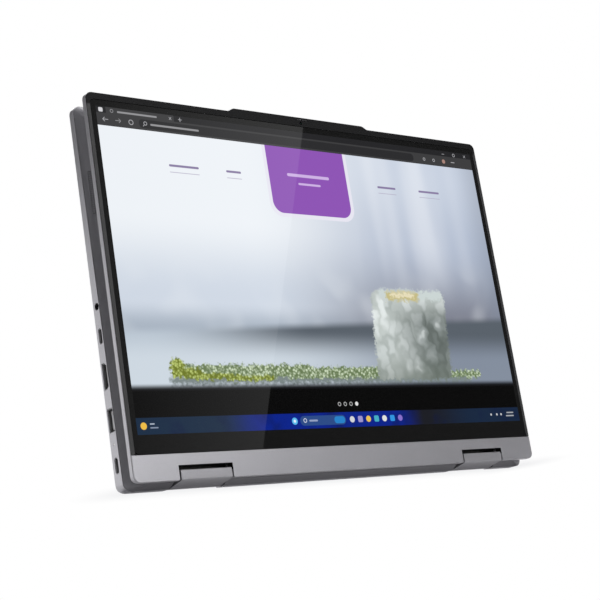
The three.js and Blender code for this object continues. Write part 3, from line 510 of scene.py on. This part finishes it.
def add_floor():
    """A pale floor that fades into the white round it, and lets a view from below through, tinted grey near
    the computer's foot as a painted contact shadow.
    """
    bpy.ops.mesh.primitive_plane_add(size=FLOOR_SIZE, location=(0, 0, cad_box[0][2] - FLOOR_GAP))
    floor = bpy.context.object
    floor.name = "floor"
    floor.visible_shadow = False
    material, tree, shader, place = new_material("floor")
    mottle = tree.noise(place, 3.0, 2.0)
    tree.put(shader.inputs["Base Color"], tree.mix(mottle, rgba((0.8, 0.8, 0.8)), rgba((0.84, 0.84, 0.84))))
    shader.inputs["Roughness"].default_value = 0.7
    under = tree.node("ShaderNodeNewGeometry").outputs["Backfacing"]
    flat = tree.vector("MULTIPLY", place, (1, 1, 0))
    # painted contact shadow: seen from below, the clear floor is tinted grey round the computer's foot
    near = box_mask(tree, flat, (-0.15, 0.15), (-0.004, 0.004), 0.003, 0.08)
    shade = tree.mix(tree.step(near, 0.0, 0.6), rgba((1, 1, 1)), rgba((0.86, 0.86, 0.87)))
    clear = tree.node("ShaderNodeBsdfTransparent", {0: shade}).outputs[0]
    away = tree.step(tree.vector("LENGTH", flat), 0.45, 1.3)
    gone = tree.math("MAXIMUM", under, away)
    both = tree.node("ShaderNodeMixShader", {0: gone, 1: shader.outputs[0], 2: clear})
    output = material.node_tree.nodes["Material Output"]
    tree.put(output.inputs["Surface"], both.outputs[0])
    floor.data.materials.append(material)


def add_world():
    """A dim surround that lights the object and is white to the camera."""
    world = bpy.data.worlds.new("studio")
    world.use_nodes = True
    bpy.context.scene.world = world
    tree = Tree(world.node_tree)
    ray = tree.node("ShaderNodeLightPath").outputs["Is Camera Ray"]
    background = world.node_tree.nodes["Background"]
    tree.put(background.inputs["Color"], tree.mix(ray, rgba((0.065, 0.065, 0.068)), rgba((1, 1, 1))))
    background.inputs["Strength"].default_value = 1.0


def add_light(name, place, aim, size, power, roll=0.0):
    """A soft box at place that faces aim, size metres wide and high, of power watts."""
    data = bpy.data.lights.new(name, "AREA")
    data.shape = "RECTANGLE"
    data.size = size[0]
    data.size_y = size[1]
    data.energy = power
    lamp = bpy.data.objects.new(name, data)
    bpy.context.scene.collection.objects.link(lamp)
    lamp.visible_camera = False
    away = Vector(place) - Vector(aim)
    turn = away.to_track_quat("Z", "Y").to_matrix().to_4x4()
    lamp.matrix_world = Matrix.Translation(place) @ turn @ Matrix.Rotation(math.radians(roll), 4, "Z")
    return data


def fade_light(data, span, strength):
    """Grades a lamp's strength along a span of X, as a soft box lit from one end does."""
    data.use_nodes = True
    tree = Tree(data.node_tree)
    spot = tree.node("ShaderNodeNewGeometry").outputs["Position"]
    inputs = {
        "Value": tree.node("ShaderNodeSeparateXYZ", {0: spot}).outputs[0],
        "From Min": span[0], "From Max": span[1],
        "To Min": strength[0], "To Max": strength[1],
    }
    ramp = tree.node("ShaderNodeMapRange", inputs).outputs[0]
    tree.put(data.node_tree.nodes["Emission"].inputs["Strength"], ramp)


def add_lights():
    """Soft boxes overhead, in front, below, behind and at the left.

    The two in front stand aslant, so that their slanted edges show in the glass, one of them graded.
    """
    middle = (0, 0, 0.11)
    slant = -19.0
    add_light("overhead", (0, 0.1, 1.8), middle, (1.6, 1.6), 34)
    front = add_light("front_box", (0.64, -1.0, 0.58), (0.64, 0, 0.58), (0.4, 1.0), 2.6, slant)
    fade_light(front, (0.46, 0.86), (0.12, 1.45))
    add_light("front_fill", (0.21, -1.0, 0.5), (0.21, 0, 0.5), (0.42, 1.0), 5.7, slant)
    add_light("left_low", (-0.85, 1.1, 0.14), (-0.156, 0, 0.1), (0.9, 0.8), 2.8)
    add_light("left_box", (-1.3, -0.3, 0.5), middle, (0.7, 0.7), 3)
    add_light("under_box", (0.3, 0.1, -0.7), (0, 0, 0), (1.0, 1.0), 5.0)
    add_light("back_box", (0.9, 1.3, 0.9), middle, (1.0, 0.8), 16)


# ---- building pieces ----
def add_piece(name, mesh, body, materials, replaced=None, smooth=35):
    """Puts a mesh of the scene's own on a body, in place of the named CAD node where there is one."""
    data = bpy.data.meshes.new(name)
    mesh.normal_update()
    mesh.to_mesh(data)
    mesh.free()
    piece = bpy.data.objects.new(name, data)
    bpy.context.scene.collection.objects.link(piece)
    for material in materials:
        data.materials.append(material)
    data.shade_smooth()
    data.set_sharp_from_angle(angle=math.radians(smooth))
    if replaced:
        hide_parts(replaced)
    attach(piece, body)
    return piece


def rounded_ring(x, z, radius, steps=4):
    """The (x, z) points of a rounded rectangle, counter-clockwise in X and Z."""
    corners = ((x[0], z[0], 180), (x[1], z[0], 270), (x[1], z[1], 0), (x[0], z[1], 90))
    points = []
    for cx, cz, start in corners:
        mid_x = cx + radius * (1 if cx == x[0] else -1)
        mid_z = cz + radius * (1 if cz == z[0] else -1)
        for i in range(steps + 1):
            angle = math.radians(start + 90 * i / steps)
            points.append((mid_x + radius * math.cos(angle), mid_z + radius * math.sin(angle)))
    return points


def level_ring(x, z, inset, y, radius):
    """The 3-D points, at height y, of the rounded rectangle of spans x and z drawn in by inset."""
    outline = rounded_ring((x[0] + inset, x[1] - inset), (z[0] + inset, z[1] - inset), radius)
    return [(a, y, b) for a, b in outline]


def skin_rings(mesh, rings, index=0):
    """Closes a stack of rings of 3-D points into one body, with a flat face over the first and the last."""
    made = [[mesh.verts.new(p) for p in ring] for ring in rings]
    count = len(made[0])
    faces = [mesh.faces.new(list(reversed(made[0]))), mesh.faces.new(made[-1])]
    for low, high in zip(made, made[1:]):
        for i in range(count):
            j = (i + 1) % count
            faces.append(mesh.faces.new((low[i], low[j], high[j], high[i])))
    bmesh.ops.recalc_face_normals(mesh, faces=faces)
    for face in faces:
        face.material_index = index


def add_block(mesh, low, high, index=0, edge=0.0):
    """A box between two corners, its edges rounded by edge."""
    made = bmesh.ops.create_cube(mesh, size=1.0)["verts"]
    for vertex in made:
        for axis in range(3):
            vertex.co[axis] = high[axis] if vertex.co[axis] > 0 else low[axis]
    faces = {face for vertex in made for face in vertex.link_faces}
    if edge:
        edges = list({e for face in faces for e in face.edges})
        cut = bmesh.ops.bevel(mesh, geom=edges, offset=edge, segments=2, affect="EDGES", profile=0.5)
        faces = {f for f in faces if f.is_valid} | set(cut["faces"])
    for face in faces:
        face.material_index = index


def ordered(a, b):
    return (a, b) if a < b else (b, a)


def face_islands(node, chosen):
    """The bounding boxes of the joined groups of a node's faces that chosen(normal, centre) picks."""
    data = node.data
    owner = {}
    groups = []
    for face in data.polygons:
        if not chosen(face.normal, face.center):
            continue
        points = [tuple(round(c, 6) for c in data.vertices[i].co) for i in face.vertices]
        found = {owner[p] for p in points if p in owner}
        merged = set(points).union(*(groups[g] for g in found))
        for g in found:
            groups[g] = set()
        groups.append(merged)
        for p in merged:
            owner[p] = len(groups) - 1
    boxes = []
    for group in groups:
        if group:
            boxes.append([Vector([pick(p[i] for p in group) for i in range(3)]) for pick in (min, max)])
    return sorted(boxes, key=lambda box: (round(box[0].z, 4), box[0].x))


# ---- screen ----
def add_screen(finishes):
    """One sheet of glass, its front face divided into the regions that each show a part of the picture."""
    low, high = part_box("cover_glass")
    x, z = (low.x, high.x), (low.z, high.z)
    edge = GLASS_EDGE * MM
    rings = []
    for inset, y in ((edge, low.y), (edge * 0.3, low.y + edge * 0.3), (0, low.y + edge), (0, high.y)):
        rings.append(level_ring(x, z, inset, y, GLASS_CORNER * MM - inset))
    mesh = bmesh.new()
    skin_rings(mesh, rings)
    bottom = low.z + SCREEN_ABOVE_CHIN * MM
    half = SCREEN_SIZE[0] * MM / 2
    levels = [bottom, bottom + PAGE[0] * MM, bottom + PAGE[1] * MM, bottom + SCREEN_SIZE[1] * MM]
    cuts = [((x, 0, 0), (1, 0, 0)) for x in (-half, half)] + [((0, 0, z), (0, 0, 1)) for z in levels]
    for place, normal in cuts:
        geometry = mesh.verts[:] + mesh.edges[:] + mesh.faces[:]
        bmesh.ops.bisect_plane(mesh, geom=geometry, dist=1e-7, plane_co=place, plane_no=normal)
    mesh.normal_update()
    for face in mesh.faces:
        middle = face.calc_center_median()
        if face.normal.y > -0.99 or abs(middle.x) > half:
            continue
        face.material_index = sum(middle.z > z for z in levels) % len(levels)
    materials = [
        finishes["cover_glass"],
        glass("glass_taskbar", paint_taskbar, (0.0006, 0.0006, 0.0006)),
        glass("glass_page", paint_page),
        glass("glass_browser", paint_browser, BAR),
    ]
    add_piece("screen_glass", mesh, "lid", materials, "cover_glass", smooth=10)


def add_lens(finishes):
    """A stepped black barrel with a small dome of glass in it."""
    low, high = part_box("webcam_lens")
    middle = (low + high) / 2
    outer = (high.x - low.x) / 2
    depth = (high.y - low.y) / MM
    # share of the radius, and mm behind the face
    barrel = [(1.0, depth), (1.0, 0.1), (0.93, 0.0), (0.62, 0.0), (0.58, 0.16), (0.5, 0.16)]
    dome = [(0.5, 0.12), (0.4, 0.02), (0.26, -0.06), (0.08, -0.1)]
    count = 32
    turns = [(math.cos(math.tau * i / count), math.sin(math.tau * i / count)) for i in range(count)]
    mesh = bmesh.new()
    for index, shape in ((0, barrel), (1, dome)):
        rings = []
        for share, level in shape:
            reach = outer * share
            y = low.y + level * MM
            rings.append([(middle.x + reach * a, y, middle.z + reach * b) for a, b in turns])
        skin_rings(mesh, rings, index)
    materials = [finishes["black_plastic"], finishes["lens_glass"]]
    add_piece("webcam_barrel", mesh, "lid", materials, "webcam_lens")


# ---- keyboard ----
KEY_ROWS = (
    "key_row_function", "key_row_numbers", "key_row_upper", "key_row_home", "key_row_lower",
    "keys_bottom_left", "space_bar", "keys_bottom_right",
)
HOME_BUMPS = (4, 7)  # which caps of the home row carry a ridge to feel for
CAP_HEIGHT = 1.85 * MM
CAP_TAPER = 0.35 * MM  # how far a cap's foot reaches out past its top
# a cap's rings above its foot: how far in, how far below the top and the corner's radius, in mm
CAP_RINGS = (
    (0.0, 0.6, 1.1), (0.2, 0.22, 1.0), (0.34, 0.06, 0.95), (0.5, 0.0, 0.9),
    (0.8, 0.0, 0.8), (1.5, 0.06, 0.7), (2.6, 0.13, 0.6),
)


def add_cap(mesh, top, base_y, top_y):
    """A key cap with rounded corners, a soft edge and a shallow dish."""
    low, high = top
    x = (low.x - CAP_TAPER, high.x + CAP_TAPER)
    z = (low.z - CAP_TAPER, high.z + CAP_TAPER)
    rings = [level_ring(x, z, 0.0, base_y, CAP_RINGS[0][2] * MM)]
    for inset, drop, radius in CAP_RINGS:
        rings.append(level_ring(x, z, inset * MM, top_y - drop * MM, radius * MM))
    skin_rings(mesh, rings)


def add_ridge(mesh, top, top_y):
    """The small ridge near the lower edge of a cap that a finger feels for."""
    x = (top[0].x + top[1].x) / 2
    z = top[1].z - 3.0 * MM
    low = (x - 1.6 * MM, top_y - 0.2 * MM, z)
    high = (x + 1.6 * MM, top_y, z + 0.5 * MM)
    add_block(mesh, low, high, edge=0.12 * MM)


def add_keys(finishes):
    """Each key node's caps, on a strip that joins them underneath."""
    for name in KEY_ROWS:
        low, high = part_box(name)
        level = high.y - 1e-5
        tops = face_islands(nodes[name], lambda normal, centre: normal.y > 0.99 and centre.y > level)
        mesh = bmesh.new()
        base_y = high.y - CAP_HEIGHT
        for top in tops:
            add_cap(mesh, top, base_y, high.y)
        if name == "key_row_home":
            for i in HOME_BUMPS:
                add_ridge(mesh, tops[i], high.y)
        middle = (low.z + high.z) / 2
        strip_low = (low.x + MM, low.y, middle - 3 * MM)
        strip_high = (high.x - MM, base_y + 0.1 * MM, middle + 3 * MM)
        add_block(mesh, strip_low, strip_high)
        add_piece(name + "_caps", mesh, name, [finishes["key_plastic"]], name)


# ---- base details ----
GRILLE_ROWS = 20
GRILLE_COLUMNS = 3
GRILLE_HOLE = 0.31  # a hole's radius as a share of its cell
HOLE_DEPTH = 0.35 * MM
# the vent slots of the bottom cover, in mm
VENT_COUNT = 16
VENT_PITCH = 9.0
VENT_SIZE = (6.6, 13.0)
VENT_MIDDLE = 40.0
VENT_COLUMNS = 5
VENT_ROWS = 10
VENT_HOLE = 0.22
VENT_BEHIND = 1.25  # from the cover's outer face to the screen
VENT_SHEET = 0.4  # how deep its holes are, against the grille's


def add_holes(mesh, place, x, z, columns, rows, reach):
    """A flat sheet of columns x rows cells, each with a hole; place turns (x, z, depth) into a point."""
    wide = (x[1] - x[0]) / columns
    tall = (z[1] - z[0]) / rows
    square = [(0, 0), (0.5, 0), (1, 0), (1, 0.5), (1, 1), (0.5, 1), (0, 1), (0, 0.5)]
    for column in range(columns):
        for row in range(rows):
            left, low = x[0] + column * wide, z[0] + row * tall
            rings = [[mesh.verts.new(place(left + a * wide, low + b * tall, 0)) for a, b in square]]
            for depth in (0.0, HOLE_DEPTH):
                ring = []
                for a, b in square:
                    away = Vector((a - 0.5, b - 0.5)).normalized() * reach
                    spot = place(left + (0.5 + away.x) * wide, low + (0.5 + away.y) * tall, depth)
                    ring.append(mesh.verts.new(spot))
                rings.append(ring)
            for one, two in zip(rings, rings[1:]):
                for i in range(8):
                    j = (i + 1) % 8
                    mesh.faces.new((one[i], one[j], two[j], two[i]))


def add_grille(side, finishes):
    """A strip with rows of real holes, over a black backing."""
    name = "speaker_grille_left" if side < 0 else "speaker_grille_right"
    node = nodes[name]
    front = max(node.data.polygons, key=lambda p: (p.normal.x * side > 0.1 and p.normal.y < -0.1) * p.area)
    normal = front.normal.copy()
    points = [v.co for v in node.data.vertices if abs((v.co - front.center).dot(normal)) < 1e-5]
    down = Vector((0, 0, 1)).cross(normal).normalized()
    z = min(p.z for p in points), max(p.z for p in points)
    t = min(p.dot(down) for p in points), max(p.dot(down) for p in points)
    level = front.center.dot(normal)

    def place(a, b, depth):
        return down * a + Vector((0, 0, b)) + normal * (level - depth)

    mesh = bmesh.new()
    add_holes(mesh, place, t, z, GRILLE_COLUMNS, GRILLE_ROWS, GRILLE_HOLE)
    bmesh.ops.remove_doubles(mesh, verts=mesh.verts, dist=1e-7)
    corners = ((t[0], z[0]), (t[1], z[0]), (t[1], z[1]), (t[0], z[1]))
    back = mesh.faces.new([mesh.verts.new(place(a, b, HOLE_DEPTH)) for a, b in corners])
    back.material_index = 1
    mesh.normal_update()
    for face in mesh.faces:
        if face.normal.dot(normal) < -0.9:
            face.normal_flip()
    materials = [finishes["dark_aluminium"], finishes["lining"]]
    add_piece(name.replace("grille", "holes"), mesh, "base", materials, name)


def add_vent_screen(finishes):
    """A black perforated sheet close behind each vent slot."""
    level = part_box("bottom_cover")[0].y + VENT_BEHIND * MM

    def place(x, z, depth):
        return Vector((x, level + depth * VENT_SHEET, z))

    mesh = bmesh.new()
    z = ((VENT_MIDDLE - VENT_SIZE[1] / 2) * MM, (VENT_MIDDLE + VENT_SIZE[1] / 2) * MM)
    for i in range(VENT_COUNT):
        middle = (i - (VENT_COUNT - 1) / 2) * VENT_PITCH
        x = ((middle - VENT_SIZE[0] / 2) * MM, (middle + VENT_SIZE[0] / 2) * MM)
        add_holes(mesh, place, x, z, VENT_COLUMNS, VENT_ROWS, VENT_HOLE)
    bmesh.ops.remove_doubles(mesh, verts=mesh.verts, dist=1e-7)
    add_piece("vent_screen", mesh, "base", [finishes["black_plastic"]])


def add_screw(name, finishes):
    """A low screw head with a six-lobed recess."""
    low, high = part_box(name)
    middle = (low + high) / 2
    radius = (high.x - low.x) / 2
    count = 48

    def ring(y, size, lobes=0.0):
        points = []
        for i in range(count):
            angle = -math.tau * i / count
            reach = size * (1 + lobes * math.cos(6 * angle))
            points.append((middle.x + reach * math.cos(angle), y, middle.z + reach * math.sin(angle)))
        return points

    shank = 0.4 * radius
    recess = 0.45 * radius
    edge = 0.12 * MM
    seat = low.y + 0.45 * MM
    floor = low.y + 0.3 * MM
    lobe = 0.16
    rings = [
        ring(high.y, shank), ring(seat, shank), ring(seat, radius),
        ring(low.y + edge, radius), ring(low.y, radius - edge), ring(low.y, 0.62 * radius),
        ring(low.y, recess, lobe), ring(floor, recess * 0.94, lobe), ring(floor, recess * 0.3),
    ]
    mesh = bmesh.new()
    skin_rings(mesh, rings)
    add_piece(name + "_head", mesh, "base", [finishes["steel"]], name)


# inside the sockets, in mm; depths are measured in from the mouth
TONGUE_TIP = 1.12
TONGUE_CLEAR = 1.44  # from a tongue's side to the outside of the socket's shell
TONGUE_SKIN = 0.06  # how far the insert stands proud of the CAD tongue in it
TONGUE_EDGE = 0.05
BACKING_BEHIND = 0.9  # from the far end of the socket back to the insert's backing
BACKING_SHEET = 0.08
BACKING_CLEAR = (0.55, 0.75)  # from its edges to the outside of the shell, along Y and Z
CONTACT_DEPTHS = (1.7, 5.2)
CONTACT_SUNK = 0.02
CONTACT_PROUD = 0.05

# name, side, tongue thickness and contacts on each face, contact width, and which faces carry contacts
SOCKETS = (
    ("usb_c_socket_rear", -1, 0.7, 12, 0.28, (1, -1)),
    ("usb_a_socket_left", -1, 1.8, 4, 1.1, (1,)),
    ("hdmi_socket", -1, 1.0, 10, 0.45, (1, -1)),
    ("usb_c_socket_front", -1, 0.7, 12, 0.28, (1, -1)),
    ("usb_a_socket_right", 1, 1.8, 4, 1.1, (1,)),
    ("card_reader", 1, 0.5, 8, 0.6, (1,)),
)


def add_socket_insert(name, side, tongue, count, width, faces, finishes):
    """The grey tongue with its contacts, and the backing behind it, of one socket."""
    low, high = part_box(name)
    middle = (low + high) / 2
    half = (high - low) / 2
    mouth = low.x if side < 0 else high.x
    deep = 2 * half.x / MM - BACKING_BEHIND
    mesh = bmesh.new()

    def block(depths, half_y, half_z, **options):
        """A block between two depths, with its middle on the socket's."""
        x = ordered(*(mouth - side * depth * MM for depth in depths))
        corners = (x[0], middle.y - half_y, middle.z - half_z), (x[1], middle.y + half_y, middle.z + half_z)
        add_block(mesh, *corners, **options)

    tongue_y = tongue * MM / 2 + TONGUE_SKIN * MM
    tongue_z = half.z - TONGUE_CLEAR * MM
    block((TONGUE_TIP, deep), tongue_y, tongue_z, edge=TONGUE_EDGE * MM)
    block((deep, deep - BACKING_SHEET), half.y - BACKING_CLEAR[0] * MM, half.z - BACKING_CLEAR[1] * MM)
    pitch = 2 * (tongue_z - 0.2 * MM) / count
    x = ordered(*(mouth - side * depth * MM for depth in CONTACT_DEPTHS))
    for i in range(count):
        z = middle.z + (i - (count - 1) / 2) * pitch
        for face in faces:
            inner = middle.y + face * (tongue_y - CONTACT_SUNK * MM)
            y = ordered(inner, middle.y + face * (tongue_y + CONTACT_PROUD * MM))
            add_block(mesh, (x[0], y[0], z - width * MM / 2), (x[1], y[1], z + width * MM / 2), 1)
    materials = [finishes["socket_plastic"], finishes["gold"]]
    add_piece(name + "_contacts", mesh, "base", materials)


# the hinge notches, in mm
NOTCH_SIDES = (91.0, 127.4)
NOTCH_SHEET = 0.25
# body, the lining's top and foot, and how far it keeps inside of the body's low and high Y
NOTCHES = (
    ("base", 11.2, 6.6, 0.4, 0.4),
    ("lid", 11.05, 7.4, 0.12, 0.3),
)


def add_notch_shade_liners(side, finishes):
    """Thin black linings in the hinge notches of the base and of the lid, clear of the shafts. They stand
    for the hinge's black cover, and their near-black also darkens the slots as painted shade.
    """
    suffix = "_left" if side < 0 else "_right"
    left, right = ordered(*(side * x * MM for x in NOTCH_SIDES))
    sheet = NOTCH_SHEET * MM
    spans = {
        "base": (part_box("bottom_cover")[0].y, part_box("keyboard_deck")[1].y),
        "lid": (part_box("chin_strip")[0].y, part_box("lid_back_cover")[1].y),
    }
    for body, top, foot, low_gap, high_gap in NOTCHES:
        y = (spans[body][0] + low_gap * MM, spans[body][1] - high_gap * MM)
        top *= MM
        foot *= MM
        mesh = bmesh.new()
        # painted shade: near-black sheets that darken the notch slots
        add_block(mesh, (left, y[0], top - sheet), (right, y[1], top))
        add_block(mesh, (left, y[0], foot), (left + sheet, y[1], top - sheet))
        add_block(mesh, (right - sheet, y[0], foot), (right, y[1], top - sheet))
        add_piece(body + "_notch_shade_lining" + suffix, mesh, body, [finishes["lining"]])


# ---- finishing the CAD nodes ----
def refine(name, width, segments=2):
    """Rounds a node's sharp edges by width mm and shades it smoothly."""
    node = nodes[name]
    node.data.polygons.foreach_set("use_smooth", [True] * len(node.data.polygons))
    weld = node.modifiers.new("weld", "WELD")
    weld.merge_threshold = 1e-6
    plain = node.modifiers.new("plain", "DECIMATE")
    plain.decimate_type = "DISSOLVE"
    plain.angle_limit = math.radians(0.6)
    bevel = node.modifiers.new("bevel", "BEVEL")
    bevel.width = width * MM
    bevel.segments = segments
    bevel.limit_method = "ANGLE"
    bevel.angle_limit = math.radians(32)
    bevel.harden_normals = True
    bevel.use_clamp_overlap = True
    node.modifiers.new("shade", "WEIGHTED_NORMAL").keep_sharp = True


def make_finishes():
    """The finish of each material slot, and a few more for nodes and pieces that differ from theirs."""
    return {
        "grey_aluminium": grained("grey_aluminium", (0.42, 0.415, 0.44), 0.34, 0.7, 0.22, 0.004),
        "cap_aluminium": grained("cap_aluminium", (0.34, 0.335, 0.355), 0.4, 0.65, 0.22, 0.004),
        # a darker grey than the deck's: partly the cover's own tone, partly painted shade for its bevel,
        # which lies in shade
        "dark_aluminium": grained("dark_aluminium", (0.225, 0.222, 0.238), 0.45, 0.55, 0.22, 0.005),
        "steel": grained("steel", (0.4, 0.4, 0.41), 0.45, 1.0, 0.2, 0.004),
        "copper": grained("copper", (0.7, 0.34, 0.2), 0.3, 1.0, 0.3, 0.004),
        "gold": grained("gold", (0.75, 0.55, 0.25), 0.25, 1.0, 0.2, 0.002),
        "black_plastic": grained("black_plastic", (0.014, 0.014, 0.015), 0.5, 0.0, 0.2, 0.01),
        "socket_plastic": grained("socket_plastic", (0.42, 0.42, 0.43), 0.5, 0.0, 0.2, 0.01),
        # near-black with almost no shine; in the hinge notches it darkens the slots as painted shade
        "lining": grained("lining", (0.005, 0.005, 0.005), 0.9, 0.0, 0.3, 0.02, shine=0.05),
        "key_plastic": grained("key_plastic", (0.07, 0.07, 0.078), 0.55, 0.0, 0.15, 0.008),
        "rubber": grained("rubber", (0.014, 0.014, 0.015), 0.55, 0.0, 0.25, 0.01),
        "rim": rim_material(),
        "cover_glass": glass("glass_border", body=0.009),
        "lens_glass": grained("lens_glass", (0.008, 0.008, 0.03), 0.05, 0.0, 1.0, 0.0, 0.3, 0.02),
        "display": grained("display", (0.02, 0.02, 0.025), 0.3),
        "circuit_board": grained("circuit_board", (0.015, 0.09, 0.055), 0.4, 0.0, 0.8, 0.02, 0.4),
        "light_guide": grained("light_guide", (0.8, 0.8, 0.76), 0.25),
    }


# rounding of the CAD nodes' sharp edges, in mm
EDGES = {
    "keyboard_deck": 0.25, "bottom_cover": 0.2, "lid_back_cover": 0.2, "chin_strip": 0.14, "lid_rim": 0.12,
    "hinge_cap_left": 0.3, "hinge_cap_right": 0.3, "touchpad": 0.12, "power_button": 0.1,
    "foot_rear": 0.35, "foot_front": 0.35, "camera_shutter": 0.06,
}

# nodes whose finish differs from that of their slot
OWN_FINISHES = {"hinge_cap_left": "cap_aluminium", "hinge_cap_right": "cap_aluminium", "lid_rim": "rim"}


def dress_nodes(finishes):
    """Gives each CAD node the finish of its material slot or its own, and rounds the edges that show."""
    for row in frame["record"]["subparts"]:
        node = nodes[row["node"]]
        node.data.materials.clear()
        node.data.materials.append(finishes[row["material_slot"]])
    for name, finish in OWN_FINISHES.items():
        nodes[name].data.materials[0] = finishes[finish]
    for name, width in EDGES.items():
        refine(name, width)


add_camera()
add_floor()
add_world()
add_lights()
finishes = make_finishes()
dress_nodes(finishes)
add_screen(finishes)
add_lens(finishes)
add_keys(finishes)
for side in (-1, 1):
    add_grille(side, finishes)
    add_notch_shade_liners(side, finishes)
add_vent_screen(finishes)
for number in range(1, 5):
    add_screw(f"cover_screw_{number}", finishes)
for socket in SOCKETS:
    add_socket_insert(*socket, finishes)

bpy.context.scene.view_settings.view_transform = "Standard"
